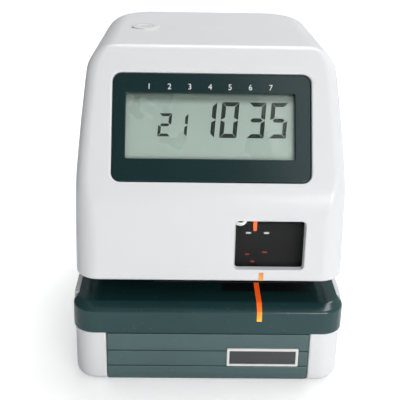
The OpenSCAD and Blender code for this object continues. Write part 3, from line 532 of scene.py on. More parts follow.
def worn_paint_and_painted_light(name, top, foot, low, high, painted_glow):
    """Marking paint, thin in places, with painted light: redder at the top as painted shade,
    yellower at the foot as painted light, and a painted glow.
    """
    rough = 0.4
    # The emission is a painted glow that brightens the paint, though it is no lamp
    material = new_finish(name, top, rough, Emission_Strength=painted_glow)
    where = add(material, "TexCoord").outputs["Object"]
    height = add(material, "SeparateXYZ", {0: where}).outputs["Z"]
    thin = between(material, noise(material, 220, 5), 0.42, 0.68, 0, 0.5)
    # Painted shade and light: redder towards the top, yellower towards the foot
    tint = mixed(material, between(material, height, high, low), top, foot)
    dress(material, Base_Color=mixed(material, thin, tint, shaded(top, 0.72)),
          Emission_Color=tint, Roughness=between(material, thin, 0, 0.5, rough, rough + 0.15),
          Normal=raised(material, noise(material, 900, 3), mm(0.02), 0.6))
    return material


# Colour, roughness, tone, patch, grain, depth of the grain, and what else there is
MOULDED = {
    "white_shell": ((0.775, 0.782, 0.800), 0.33, 0.010, 9, 2600, 0.005),
    "green_shell": ((0.016, 0.056, 0.059), 0.16, 0.12, 22, 2200, 0.012,
                    {"scuffs": 0.06, "dust": 0.05, "waves": mm(0.02)}),
    "green_band": ((0.075, 0.130, 0.132), 0.36, 0.08, 26, 1900, 0.02,
                   {"scuffs": 0.05, "dust": 0.06}),
    "bezel_green": ((0.004, 0.024, 0.026), 0.17, 0.12, 18, 2600, 0.006,
                    {"dust": 0.02, "Specular_IOR_Level": 0.4}),
    "badge_white": ((0.80, 0.80, 0.78), 0.32, 0.04, 60, 1800, 0.02),
    "rubber_black": ((0.018, 0.018, 0.019), 0.75, 0.15, 60, 900, 0.05, {"dust": 0.25}),
    "black_plastic": ((0.010, 0.010, 0.011), 0.45, 0.15, 40, 1800, 0.02,
                      {"dust": 0.06, "Specular_IOR_Level": 0.3}),
    "grey_plastic": ((0.065, 0.068, 0.075), 0.40, 0.1, 40, 1800, 0.02, {"dust": 0.12}),
    "white_plastic": ((0.74, 0.74, 0.71), 0.35, 0.04, 40, 1800, 0.015),
    "red_button": ((0.48, 0.05, 0.025), 0.3, 0.08, 60, 1800, 0.01),
    "knob_orange": ((0.68, 0.17, 0.03), 0.36, 0.08, 50, 1800, 0.015, {"dust": 0.1}),
    "can_blue": ((0.022, 0.050, 0.20), 0.25, 0.1, 60, 1200, 0.01),
    "mask_black": ((0.005, 0.005, 0.0055), 0.62, 0.15, 40, 1800, 0.02,
                   {"Specular_IOR_Level": 0.15}),
    "platen_black": ((0.008, 0.016, 0.016), 0.45, 0.12, 60, 900, 0.03),
    "figure_dark": ((0.006, 0.012, 0.010), 0.6, 0.1, 90, 2000, 0.004,
                    {"Specular_IOR_Level": 0.1}),
    "figure_shade": ((0.27, 0.30, 0.26), 0.4, 0.1, 90, 2000, 0.004),
    "red_dashes": ((0.60, 0.055, 0.03), 0.4, 0.1, 80, 1800, 0.01),
    "resistor_body": ((0.50, 0.33, 0.17), 0.35, 0.1, 200, 1500, 0.01),
}
# Colour, roughness, stretch and closeness of the lines, their depth, stain, how metallic
METALS = {
    "badge_grey": ((0.085, 0.090, 0.095), 0.36, (1, 40, 40), 60, 0.01, 0.05, 0.5),
    "steel_plate": ((0.075, 0.078, 0.082), 0.45, (1, 1, 1), 500, 0.02, 0.1, 0.3),
    "zinc_steel": ((0.52, 0.54, 0.55), 0.34, (1, 12, 12), 120, 0.01, 0.1),
    "bright_steel": ((0.66, 0.67, 0.68), 0.18, (1, 60, 60), 60, 0.004, 0.04),
    "screw_steel": ((0.58, 0.58, 0.57), 0.28, (1, 1, 1), 1500, 0.01, 0.08),
    "motor_metal": ((0.30, 0.31, 0.32), 0.35, (30, 30, 1), 40, 0.01, 0.12),
    "head_metal": ((0.20, 0.205, 0.21), 0.4, (1, 1, 1), 600, 0.02, 0.1, 0.7),
    "brass": ((0.60, 0.45, 0.17), 0.26, (1, 1, 30), 60, 0.01, 0.08),
}
# Colour, direction of the rows, their pitch and depth, roughness
WOUND = {
    "coil_wrap": ((0.50, 0.36, 0.10), "Z", 130.0, mm(0.08), 0.45),
    "cell_wrap": ((0.05, 0.20, 0.10), "X", 30.0, mm(0.01), 0.3),
    "ink_fabric": ((0.012, 0.012, 0.020), "X", 900.0, mm(0.05), 0.7),
}
# Colours at the top and at the foot, painting shade at the top and light at the foot, heights of
# the two, painted glow
PAINTS = {
    "orange_mark": ((0.93, 0.11, 0.010), (0.96, 0.46, 0.035), line_low.z, line_high.z, 0.55),
    "amber_mark": ((0.93, 0.30, 0.06), (0.93, 0.44, 0.09), LIP, LIP + mm(6), 0.05),
}
finishes = {}
for name, (colour, rough, tone, patch, grain, depth, *more) in MOULDED.items():
    finishes[name] = moulded(name, colour, rough, tone, patch, grain, mm(depth), **dict(*more))
for name, (colour, rough, stretch, grain, depth, *more) in METALS.items():
    finishes[name] = metal(name, colour, rough, stretch, grain, mm(depth), *more)
for kind, table in ((wound_finish, WOUND), (worn_paint_and_painted_light, PAINTS)):
    for name, row in table.items():
        finishes[name] = kind(name, *row)
for name, tint, ior in (("clear_lens", (0.95, 0.97, 0.96), 1.25),
                        ("smoke_pane", (0.93, 0.94, 0.93), 1.14)):
    finishes[name] = clear(name, tint, ior)
for name, kind in (("board_green", board_finish), ("core_steel", lamination_finish),
                   ("lcd_glass", display_finish)):
    finishes[name] = kind(name)

# The carried-over CAD nodes take the finish of their slot, or one of their own
OWN_FINISHES = {"ribbon_mask": "mask_black", "platen": "platen_black"}
for row in frame["record"]["subparts"]:
    for place in frame["nodes"][row["node"]].material_slots:
        place.material = finishes[OWN_FINISHES.get(row["node"], row["material_slot"])]

# ---- Head cover ----


def clamp(value, low, high):
    return max(low, min(high, value))


BROW_START = BROW - BROW_RADIUS * math.tan(LEAN / 2)
BROW_END = BROW_START + BROW_RADIUS * math.sin(LEAN)
CREASE_MIDDLE = TOP - CREASE_RADIUS
CREASE_Y = (
    HEAD_FRONT + (CREASE_MIDDLE - BROW) * math.tan(LEAN) + CREASE_RADIUS / math.cos(LEAN)
)
CREASE_START = CREASE_MIDDLE + CREASE_RADIUS * math.sin(LEAN)
LIP_ROUND = mm(2)
LEAST_EDGE_RADIUS = mm(3)
# Parts that the outline's front corners and its sides are made of
FRONT_PARTS, SIDE_PARTS = 10, 14
# Parts from the lip to the brow, round the brow and up the slope, and degrees of each part above
STEEP_PARTS, BROW_PARTS, SLOPE_PARTS, CROWN_TURN = 8, 8, 9, 5


def rounding(t, radius):
    return 0 if t >= radius else radius - math.sqrt(radius**2 - (radius - t) ** 2)


def face_lean(z):
    if z <= BROW_START:
        return 0
    return LEAN if z >= BROW_END else math.asin((z - BROW_START) / BROW_RADIUS)


def face_line(z):
    if z <= BROW_START:
        return HEAD_FRONT
    if z <= BROW_END:
        return HEAD_FRONT + BROW_RADIUS * (1 - math.cos(face_lean(z)))
    return HEAD_FRONT + (z - BROW) * math.tan(LEAN)


def head_face(z, t):
    """How far back the head's front is at a height, for a skin that lies in by t."""
    if z > CREASE_START - t:
        return CREASE_Y - math.sqrt(max(0, (CREASE_RADIUS - t) ** 2 - (z - CREASE_MIDDLE) ** 2))
    return face_line(z) + t / math.cos(face_lean(z))


def rearward(y):
    return clamp((y - CREASE_Y) / (HEAD_REAR - CREASE_Y), 0, 1)


def edge_radius(z):
    k = clamp((z - BROW + EDGE_BLEND) / (2 * EDGE_BLEND), 0, 1)
    return HEAD_FRONT_RADIUS + (SLOPE_EDGE_RADIUS - HEAD_FRONT_RADIUS) * k * k * (3 - 2 * k)


def head_ring(z, t, top, raise_by=0.0):
    """One level of the head cover, for a skin that lies in by t."""
    side = rounding(top - z, SHOULDER_RADIUS - t)
    crown = rounding(top - z, CROWN_RADIUS - t)
    up = (z - LIP) / (TOP - LIP)
    turns = corners(
        HEAD_HALF - SIDE_IN * up**2 - t - side, head_face(z, t),
        HEAD_REAR - REAR_DRAFT * (z - LIP) - t - crown,
        max(LEAST_EDGE_RADIUS, edge_radius(z) - t - side * 0.5), HEAD_REAR_RADIUS - t - crown,
        FRONT_PARTS, SIDE_PARTS)
    points = []
    for corner, following in zip(turns, turns[1:] + turns[:1]):
        points += corner
        (x0, y0), (x1, y1) = corner[-1], following[0]
        for i in range(1, SIDE_PARTS):
            points.append((x0 + (x1 - x0) * i / SIDE_PARTS, y0 + (y1 - y0) * i / SIDE_PARTS))
    ring = []
    for x, y in points:
        back = rearward(y)
        ring.append((
            x * (1 - REAR_IN * back / HEAD_HALF), y, z - TOP_FALL * back * up + raise_by))
    return ring


def head_levels(top, crown):
    steep = [LIP + (BROW_START - LIP) * i / STEEP_PARTS for i in range(STEEP_PARTS + 1)]
    brow = [
        BROW_START + (BROW_END - BROW_START) * i / BROW_PARTS for i in range(1, BROW_PARTS + 1)]
    slope = [
        BROW_END + (top - crown - BROW_END) * i / SLOPE_PARTS for i in range(1, SLOPE_PARTS)]
    over = [top - crown * (1 - math.sin(math.radians(a))) for a in range(0, 91, CROWN_TURN)]
    return steep + brow + slope + over


def head_solid(name, t, foot):
    """The outside of the head cover for t of 0, and its inside for the wall's thickness."""
    top = TOP - t
    lip = [(t, foot)] if t else quarter(LIP_ROUND, 4)
    levels = head_levels(top, CROWN_RADIUS - t)
    return loft(name, [head_ring(LIP, inset, top, rise) for inset, rise in lip]
                + [head_ring(z, t, top) for z in (levels if t else levels[1:])])


def tube(name, x0, x1, y, z, radius):
    """A round bar along X."""
    bar = turned(name, [(radius, x0), (radius, x1)], steps=40)
    return moved(bar, shift(0, y, z) @ turn(90, "Y") @ turn(90, "Z"))


def opening(name, width, height, radius, edge, deep, draft=0.0):
    """A cutter for an opening: round corners, an eased outer edge, and sides that draw in.
    Its outer end is above z 0, and it reaches deep below."""
    levels = [(edge, mm(4))] + [(grow, -drop) for grow, drop in quarter(edge, 5)]
    rings = [
        at(rounded_box(width + 2 * grow, height + 2 * grow, radius + grow), z)
        for grow, z in levels]
    inner = rounded_box(width - 2 * draft, height - 2 * draft, max(mm(0.4), radius - draft))
    return loft(name, rings + [at(inner, -deep)])


DISPLAY_LOW, DISPLAY_HIGH = mm(10, 68.5)
DISPLAY_MIDDLE = (DISPLAY_LOW + DISPLAY_HIGH) / 2
DISPLAY_WIDTH, DISPLAY_HEIGHT = mm(106), DISPLAY_HIGH - DISPLAY_LOW
DISPLAY_RADIUS = mm(5)
VIEW_LEFT, VIEW_RIGHT = pane_low.x + mm(2.4), pane_high.x - mm(3)
VIEW_LOW, VIEW_HIGH = pane_low.z + mm(2.3), pane_high.z - mm(2.5)
LOCK_PLACE = ((ring_low.x + ring_high.x) / 2, (ring_low.y + ring_high.y) / 2)
LOCK_RADIUS = (ring_high.x - ring_low.x) / 2
LOCK_TOP = ring_high.z
LUG_X = mm(33.5)
LUG_HALF, LUG_RADIUS, LUG_BORE = mm(2, 3.5, 1.56)
HINGE_Y, HINGE_Z = REAR - mm(8.5), LIP + mm(4)


def make_head_shell():
    """The shell with its hinge lugs, display opening, viewing window and lock seat."""
    shell = cut(head_solid("head_shell", 0, 0), head_solid("inside", WALL, -mm(1)))
    lugs, bores = [], []
    for middle in (-LUG_X, LUG_X):
        barrel = tube("lug", middle - LUG_HALF, middle + LUG_HALF, HINGE_Y, HINGE_Z, LUG_RADIUS)
        foot = block("foot", (middle - LUG_HALF, HINGE_Y, HINGE_Z - LUG_RADIUS),
                     (middle + LUG_HALF, HEAD_REAR - mm(2), HINGE_Z + LUG_RADIUS))
        lugs.append(cut(barrel, foot, how="UNION"))
        bores.append(tube("bore", middle - mm(3), middle + mm(3), HINGE_Y, HINGE_Z, LUG_BORE))
    cut(shell, *lugs, how="UNION")
    gap = mm(0.7)
    display = moved(
        opening("display_opening", DISPLAY_WIDTH + gap, DISPLAY_HEIGHT + gap, DISPLAY_RADIUS,
                mm(0.9), mm(6.5)),
        SLOPE @ shift(0, DISPLAY_MIDDLE, 0))
    view = moved(
        opening("view_opening", VIEW_RIGHT - VIEW_LEFT, VIEW_HIGH - VIEW_LOW, mm(2.2), mm(0.6),
                WALL + mm(0.5), mm(0.8)),
        shift((VIEW_LEFT + VIEW_RIGHT) / 2, HEAD_FRONT, (VIEW_LOW + VIEW_HIGH) / 2) @ UPRIGHT)
    slot = block("lip_slot", (mark_low.x - mm(0.1), HEAD_FRONT - mm(2), LIP - mm(1)),
                 (mark_high.x + mm(0.1), HEAD_FRONT + mm(0.4), mark_high.z + mm(0.1)))
    inner, outer, ledge = LOCK_RADIUS - mm(1.9), LOCK_RADIUS + mm(0.2), LOCK_TOP - mm(1.4)
    lock = turned("lock_seat", [
        (inner, LIP + mm(60)), (inner, ledge), (outer, ledge), (outer, TOP + mm(1))], LOCK_PLACE)
    cut(shell, *bores, display, view, slot, lock)
    hand_over(smooth(shell), "cover", "white_shell", "head_cover")


make_head_shell()

# ---- Display ----

GLASS_LEFT, GLASS_RIGHT = mm(-46, 44.4)
GLASS_LOW, GLASS_HIGH = mm(22.4, 58)
FRAME_FACE, FRAME_STEP = mm(-0.5, -2.56)


def over_glass(name, grow, low, high):
    """A block over the glass, larger by grow all round."""
    return block(name, (GLASS_LEFT - grow, GLASS_LOW - grow, low),
                 (GLASS_RIGHT + grow, GLASS_HIGH + grow, high))


def make_display_frame():
    """The dark surround: eased outer edge, and a window whose sides step down to the glass."""
    levels = [(0, FRAME_STEP)]
    levels += [(drop, FRAME_FACE - inset) for inset, drop in quarter(mm(0.8), 5)]
    surround = moved(loft("display_frame", [
        at(rounded_box(DISPLAY_WIDTH - 2 * inset, DISPLAY_HEIGHT - 2 * inset,
                       DISPLAY_RADIUS - inset, 10), z)
        for inset, z in levels]), shift(0, DISPLAY_MIDDLE, 0))
    flange = rounded_box(DISPLAY_WIDTH + mm(5), DISPLAY_HEIGHT + mm(2.5), DISPLAY_RADIUS)
    cut(surround, moved(loft("flange", [at(flange, z) for z in mm(-4.5, -2.55)]),
                        shift(0, DISPLAY_MIDDLE + mm(0.5), 0)), how="UNION")
    window = moved(
        opening("window", GLASS_RIGHT - GLASS_LEFT, GLASS_HIGH - GLASS_LOW, mm(0.9), mm(0.5),
                mm(6)),
        shift((GLASS_LEFT + GLASS_RIGHT) / 2, (GLASS_LOW + GLASS_HIGH) / 2, FRAME_FACE))
    cut(surround, window, over_glass("seat", mm(2), *mm(-6, -3)))
    posts = [
        turned("post", mm((2, -7.3), (2, -4)), (x, v), 24)
        for x in mm(-52, 52) for v in (GLASS_LOW - mm(6), GLASS_HIGH + mm(6))]
    cut(surround, *posts, how="UNION")
    hand_over(smooth(moved(surround, SLOPE)), "cover", "bezel_green", "display_bezel")


make_display_frame()
glass = soften(over_glass("display_glass", mm(1.8), *mm(-4.25, -3.02)), mm(0.15))
hand_over(smooth(moved(glass, SLOPE), 12), "cover", "clear_lens", "display_lens")

# The bars of a seven-bar figure that each number lights
BARS = {"0": "abcdef", "1": "bc", "2": "abged", "3": "abgcd", "5": "afgcd"}
# Number, left, right, foot, head and bar width of each figure, in millimetres
FIGURES = [
    ("2", -29.2, -22.2, 34.8, 47.5, 1.7), ("1", -20.2, -13.4, 34.8, 47.5, 1.7),
    ("1", -8.6, 1.4, 34.4, 54.0, 2.4), ("0", 4.0, 13.4, 34.4, 54.0, 2.4),
    ("3", 18.6, 28.0, 34.4, 54.0, 2.4), ("5", 30.6, 40.0, 34.4, 54.0, 2.4),
]
FIGURE_SLANT = math.tan(math.radians(5))
FIGURE_GAP, SHADE_OFFSET = mm(0.16, 0.35)
# Foot and head of the two layers, over the ground and under the glass
SHADE_LAYER, LIT_LAYER = mm((-4.49, -4.47), (-4.44, -4.40))


def figure_bars(number, left, right, foot, head, bar):
    """Outlines of the lit bars of one figure, leaning to the right."""
    middle, half = (foot + head) / 2, bar / 2
    left_in, right_in = left + bar, right - bar
    foot_in, head_in = foot + bar, head - bar
    over, under = middle + half, middle - half
    shapes = {
        "a": [(left, head), (right, head), (right_in, head_in), (left_in, head_in)],
        "b": [(right, head), (right, middle), (right_in, over), (right_in, head_in)],
        "c": [(right, foot), (right_in, foot_in), (right_in, under), (right, middle)],
        "d": [(left, foot), (left_in, foot_in), (right_in, foot_in), (right, foot)],
        "e": [(left, foot), (left, middle), (left_in, under), (left_in, foot_in)],
        "f": [(left, head), (left_in, head_in), (left_in, over), (left, middle)],
        "g": [(left + half, middle), (left_in, over), (right_in, over),
              (right - half, middle), (right_in, under), (left_in, under)],
    }
    outlines = []
    for points in (shapes[name] for name in BARS[number]):
        cx, cv = (sum(part) / len(points) for part in zip(*points))
        outline = []
        for x, v in points:
            keep = 1 - FIGURE_GAP / math.hypot(x - cx, v - cv)
            v = cv + (v - cv) * keep
            outline.append((cx + (x - cx) * keep + (v - foot) * FIGURE_SLANT, v))
        outlines.append(outline)
    return outlines


def make_figures():
    """The display's lit figures, and the faint shade that they throw on the ground below."""
    lit, shade = [], []
    for number, *sizes in FIGURES:
        for outline in figure_bars(number, *mm(*sizes)):
            lit.append(loft("bar", [at(outline, z) for z in LIT_LAYER]))
            shifted = [(x + SHADE_OFFSET, v - SHADE_OFFSET) for x, v in outline]
            shade.append(loft("shade", [at(shifted, z) for z in SHADE_LAYER]))
    for name, bars, finish in (("display_figures", lit, "figure_dark"),
                               ("display_figure_shades", shade, "figure_shade")):
        hand_over(moved(joined(name, bars), SLOPE), "cover", "lcd_glass", finish=finish)


make_figures()


# Middles of the seven day numbers, in millimetres
DAY_PLACES = (-33.7, -22.8, -11.9, -1.0, 9.7, 20.6, 31.5)
DAY_MIDDLE, DAY_HEIGHT, DAY_FOOT, DAY_RELIEF = mm(61.4, 3.1, -0.47, 0.04)
# The height of a number for a letter size of 1
NUMBER_SHARE = 0.7


def make_day_numbers():
    """The numbers 1 to 7 above the display, in place of the names of the days."""
    shape = bmesh.new()
    for day, x in enumerate(DAY_PLACES):
        curve = bpy.data.curves.new("lettering", "FONT")
        curve.body = str(day + 1)
        curve.size = DAY_HEIGHT / NUMBER_SHARE
        curve.align_x = "CENTER"
        curve.extrude = DAY_RELIEF
        curve.resolution_u = 4
        source = bpy.data.objects.new("lettering", curve)
        bpy.context.scene.collection.objects.link(source)
        mesh = plain_mesh(source)
        bpy.data.objects.remove(source)
        mesh.transform(shift(mm(x), DAY_MIDDLE - DAY_HEIGHT / 2, DAY_FOOT))
        shape.from_mesh(mesh)
    hand_over(moved(new_piece("day_numbers", shape), SLOPE), "cover", "badge_white")


make_day_numbers()

# ---- Card table ----

TABLE_HALF = table_high.x
TABLE_FRONT, THROAT_BACK = table_low.y, table_high.y
TABLE_TOP, FENDER_LOW = table_high.z, table_low.z
BEVEL_LOW = TABLE_TOP - mm(3)
BEVEL_SIDE, BEVEL_FRONT = mm(2.8, 6.5)
FENDER_BACK = TABLE_FRONT + mm(16.95)
TABLE_CORNER = mm(13)


def make_card_tray():
    """The table and its fender, with rounded edges on both sides of the bevel."""
    edge, rise, drop = mm(1.3, 0.6, 0.42)
    # How far in on the bevel, and height
    levels = [(0.06, FENDER_LOW), (0, FENDER_LOW + mm(0.5)), (0, BEVEL_LOW - edge)]
    steps = [i / 6 for i in range(1, 6)]
    levels += [(0.2 * t * t, BEVEL_LOW - edge * (1 - t) ** 2 + rise * t * t) for t in steps]
    levels += [(0.2, BEVEL_LOW + rise), (0.86, TABLE_TOP - drop)]
    levels += [(0.86 + 0.28 * t - 0.06 * t * t, TABLE_TOP - drop * (1 - t) ** 2) for t in steps]
    tray = loft("card_tray", [
        at(plan(TABLE_HALF - BEVEL_SIDE * t, TABLE_FRONT + BEVEL_FRONT * t, FENDER_BACK,
                TABLE_CORNER - mm(4) * t, mm(1), 14), z)
        for t, z in levels + [(1.08, TABLE_TOP)]])
    half = TABLE_HALF - BEVEL_SIDE - mm(0.1)
    bed = block("bed", (-half, TABLE_FRONT + mm(12), BEVEL_LOW), (half, THROAT_BACK, TABLE_TOP))
    cut(tray, bed, how="UNION")
    pocket = box_of("pocket", *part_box("platen"), mm(0.1, 0.1), mm(0.1, 0.1), mm(0, 1))
    cut(tray, pocket, sight_profile("channel", mm(0.1), mm(1.2)))
    hand_over(smooth(tray, 24), "body", "green_shell", "card_table")


def sight_profile(name, grow, out):
    """The sight line over the table and down the fender, or its channel where out is given."""
    back, foot = line_high.y + 2 * grow, line_low.z - grow
    thick = mm(0.45)
    under = [
        (back, TABLE_TOP - thick), (TABLE_FRONT + BEVEL_FRONT, TABLE_TOP - thick),
        (TABLE_FRONT + thick, BEVEL_LOW - mm(0.3)), (TABLE_FRONT + thick, foot),
    ]
    if out:
        over = [(TABLE_FRONT - out, foot), (TABLE_FRONT - out, TABLE_TOP + out),
                (back, TABLE_TOP + out)]
    else:
        over = [(TABLE_FRONT + mm(0.03), foot)]
        over += [(TABLE_FRONT + mm(y), BEVEL_LOW + mm(z))
                 for y, z in ((0.03, -1.3), (0.33, -0.1), (1.3, 0.57))]
        over += [(TABLE_FRONT + mm(y), TABLE_TOP - mm(z))
                 for y, z in ((5.6, 0.44), (6.5, 0.16), (7.4, 0.02))]
        over.append((back, TABLE_TOP - mm(0.01)))
    return loft(name, [
        [(x, y, z) for y, z in under + over] for x in (line_low.x - grow, line_high.x + grow)])


make_card_tray()
hand_over(smooth(sight_profile("sight_strip", 0, 0)), "body", "orange_mark", "sight_line")
lip_strip = block("lip_strip", (mark_low.x, mark_low.y, mark_low.z + mm(0.6)), mark_high)
hand_over(soften(lip_strip, mm(0.12)), "cover", "amber_mark", "lip_mark")

# ---- Base ----

BASE_LOW, TRAY_Z = housing_low.z, FENDER_LOW
BASE_HALF = housing_high.x - BASE_IN
BASE_ROUND = mm(5.5)
FRONT_CORNER, REAR_CORNER, STEP_CORNER = mm(13, 14, 24)
COLUMN_TOP = housing_high.z
COLUMN_LOW = COLUMN_TOP - mm(5.5)
COLUMN_STEP_Y = REAR - mm(17)
BAND_HALF = band_high.x
BAND_FRONT, BAND_BACK = band_low.y, band_high.y
BAND_PITCH = (band_high.z - band_low.z) / 3
UNDER = mm(1)
DECK_FRONT = FRONT + mm(17)
COLUMN_FRONT, COLUMN_HALF = FRONT + mm(78), mm(67)
MOUTH_HALF, MOUTH_IN, MOUTH_HEIGHT = mm(60, 14, 4)
CABLE_X, CABLE_RADIUS = mm(52, 4)
# The posts for the base plate: their place, and the radius of their screws' bores
PLATE_POST_X, PLATE_POST_IN, PLATE_BORE = mm(56, 36, 1.5)
# The posts for the frame: how far in the screws' middles are, and the radius of the bores
FRAME_SCREW_RADIUS, FRAME_BORE = mm(2.8, 1.4)


def base_ring(inset, z):
    return at(plan(BASE_HALF - inset, FRONT + BASE_IN + inset, REAR - inset,
                   max(mm(1), FRONT_CORNER - inset), REAR_CORNER - inset, 12), z)


def base_solid(name, t, top):
    rings = [base_ring(t + inset, BASE_LOW + rise) for inset, rise in quarter(BASE_ROUND, 8)]
    return loft(name, rings + [base_ring(t, top)])


def deck_ring(inset, z, t=0.0):
    return at(plan(housing_high.x - inset - t, DECK_FRONT + t + inset * 0.3, REAR - inset - t,
                   mm(1), REAR_CORNER - inset - t, 12), z)


def column_part(name, rear, corner, t, low, high):
    """The column under the head, or for t its hollow."""
    ring = plan(
        COLUMN_HALF - t, COLUMN_FRONT + t, rear - t, mm(2 if t else 3), corner - t, 10)
    return loft(name, [at(ring, z) for z in (low, high)])


def screw_post(x, y, low, high, bore, up):
    """A post with a blind bore in its upper end, or in its lower end."""
    radius, deep = mm(4.5, 12)
    profile = [(radius, low), (radius, high), (bore, high), (bore, high - deep)]
    if not up:
        profile = [(radius, high), (radius, low), (bore, low), (bore, low + deep)]
    return turned("post", profile, (x, y), 28)


def make_band_seat():
    """The gap for the front band, with eased edges where the white corners meet it."""
    half, edge = BAND_HALF + mm(0.3), mm(1.3)
    front = FRONT + BASE_IN
    side = [(half + edge + mm(1), front - mm(1.5)), (half + edge, front)]
    for i in range(1, 6):
        a = math.radians(90 * i / 5)
        side.append((half + edge * (1 - math.sin(a)), front + edge * (1 - math.cos(a))))
    side.append((half, FRONT + mm(4.3)))
    outline = side[::-1] + [(-x, y) for x, y in side]
    return loft("band_seat", [at(outline[::-1], z) for z in (BASE_LOW - mm(1), TRAY_Z + mm(1))])


def make_base_shell():
    """The base with its deck and column, hollow, with posts for the screws."""
    shell = base_solid("base_shell", 0, TRAY_Z)
    deck = loft("deck", [deck_ring(0, TRAY_Z)] + [
        deck_ring(inset, TABLE_TOP - drop) for inset, drop in quarter(mm(1), 4)[::-1]])
    cut(shell, deck,
        column_part("column", REAR - UNDER, REAR_CORNER, 0, TABLE_TOP - UNDER, COLUMN_LOW),
        column_part("step", COLUMN_STEP_Y, STEP_CORNER, 0, COLUMN_LOW - UNDER, COLUMN_TOP),
        how="UNION")
    hollows = [
        base_solid("hollow", WALL, TRAY_Z - WALL),
        block("mouth", (-MOUTH_HALF, FRONT + MOUTH_IN, BASE_LOW - UNDER),
              (MOUTH_HALF, REAR - MOUTH_IN, BASE_LOW + MOUTH_HEIGHT)),
        loft("deck_hollow", [deck_ring(0, z, WALL)
                             for z in (TRAY_Z - WALL - UNDER, BEVEL_LOW - WALL)]),
        column_part("column_hollow", REAR - UNDER, REAR_CORNER, WALL, BEVEL_LOW,
                    COLUMN_LOW - WALL),
        column_part("step_hollow", COLUMN_STEP_Y, STEP_CORNER, WALL, COLUMN_TOP - mm(8),
                    COLUMN_TOP + UNDER),
        block("table_seat", (-TABLE_HALF + BEVEL_SIDE, FRONT + mm(10), BEVEL_LOW),
              (TABLE_HALF - BEVEL_SIDE, THROAT_BACK, TABLE_TOP + UNDER)),
        make_band_seat(),
    ]
    for x in (-CABLE_X, CABLE_X):
        hollows.append(turned("cable_hole", [
            (CABLE_RADIUS, TABLE_TOP - drop) for drop in mm(7, 1)], (x, FRONT + mm(120)), 32))
    gland_low, gland_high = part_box("cord_gland")
    gland = shift((gland_low.x + gland_high.x) / 2, REAR, (gland_low.z + gland_high.z) / 2)
    for radius, deep in mm((6, 4), (8, 1.5)):
        hole = turned("gland_hole", [(radius, -deep), (radius, mm(1))], steps=40)
        hollows.append(moved(hole, gland @ turn(-90, "X")))
    cut(shell, *hollows)
    plate_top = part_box("base_plate")[1].z
    posts = [
        screw_post(x, y, plate_top, TABLE_TOP - mm(5.4), PLATE_BORE, False)
        for x in (-PLATE_POST_X, PLATE_POST_X)
        for y in (FRONT + PLATE_POST_IN, REAR - PLATE_POST_IN)]
    low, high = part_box("frame_screws")
    posts += [
        screw_post(x, y, TABLE_TOP - mm(3.2), COLUMN_TOP, FRAME_BORE, True)
        for x in (low.x + FRAME_SCREW_RADIUS, high.x - FRAME_SCREW_RADIUS)
        for y in (low.y + FRAME_SCREW_RADIUS, high.y - FRAME_SCREW_RADIUS)]
    whole = joined("base_shell", [smooth(shell)] + posts)
    hand_over(smooth(whole), "body", "white_shell", "lower_housing")


make_base_shell()


def make_band_cover():
    """The front band: two grooves across it, a curl at its foot and eased ends."""
    curl_depth, curl_height = mm(2.8, 9)
    foot = band_low.z + curl_height
    top = TRAY_Z - mm(0.6)
    front = [(BAND_BACK, top)]
    front += [(BAND_FRONT + mm(y), top - mm(z)) for y, z in ((0.8, 0), (0.25, 0.25), (0, 0.8))]
    for z in (band_low.z + 2 * BAND_PITCH, band_low.z + BAND_PITCH):
        for deep, off in mm((0, 0.75), (0.15, 0.45), (0.9, 0.12), (0.9, -0.12), (0.15, -0.45),
                            (0, -0.75)):
            front.append((BAND_FRONT + deep, z + off))
    for i in range(9):
        a = math.radians(180 + 90 * i / 8)
        front.append((BAND_FRONT + curl_depth * (1 + math.cos(a)),
                      foot + curl_height * math.sin(a)))
    front.append((BAND_BACK, band_low.z))
    middle_y, middle_z = (BAND_FRONT + BAND_BACK) / 2, (band_low.z + band_high.z) / 2
    rings = [[
        (along - BAND_HALF, y + (inset if y < middle_y else 0),
         z - (inset if z > middle_z else -inset))
        for y, z in front] for along, inset in mm((0, 0.7), (0.2, 0.2), (0.7, 0))]
    rings += [[(-x, y, z) for x, y, z in ring] for ring in rings[::-1]]
    band = loft("band_cover", rings)
    cut(band, box_of("pocket", *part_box("badge_frame"), mm(0.3, 0.3), mm(1, 0), mm(0.3, 0.3)))
    hand_over(smooth(band, 28), "body", "green_band", "front_band")


def make_badge():
    """The badge: a pale eased rim round a bare field of brushed grey."""
    low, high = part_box("badge_frame")
    width, depth, height = high - low
    rim = loft("badge_rim", [
        at(rounded_box(width - 2 * inset, height - 2 * inset, radius, 4), z)
        for inset, radius, z in (
            (0, mm(0.8), -depth), mm(0, 0.8, -0.3), mm(0.2, 0.6, -0.08), mm(0.4, 0.5, 0))])
    rim_width = mm(1.5)
    half_width, half_height = width / 2 - rim_width, height / 2 - rim_width
    cut(rim, block("field", (-half_width, -half_height, mm(-0.7)),
                   (half_width, half_height, mm(1))))
    middle = shift((low.x + high.x) / 2, low.y, (low.z + high.z) / 2)
    hand_over(smooth(moved(rim, middle @ UPRIGHT)), "body", "badge_white", "badge_frame")
    field = block("badge_plate", *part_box("badge_field"))
    hand_over(soften(field, mm(0.15)), "body", "badge_grey", "badge_field")


def make_feet():
    """Rubber feet with an eased tread and ring grooves round their screw recess."""
    low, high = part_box("rubber_feet")
    radius = mm(7)
    profile = mm(
        (2.5, 0.8), (2.5, 0.2), (2.7, 0), (3.9, 0), (4.0, 0.3), (4.4, 0.3), (4.5, 0), (5.9, 0),
        (6.4, 0.2), (6.6, 0.7)) + ((radius, high.z),)
    feet = [
        turned("foot", profile, (x, y), 40)
        for x in (low.x + radius, high.x - radius) for y in (low.y + radius, high.y - radius)]
    hand_over(smooth(joined("feet", feet)), "body", "rubber_black", "rubber_feet")


make_band_cover()
make_badge()
make_feet()

# ---- Key lock ----


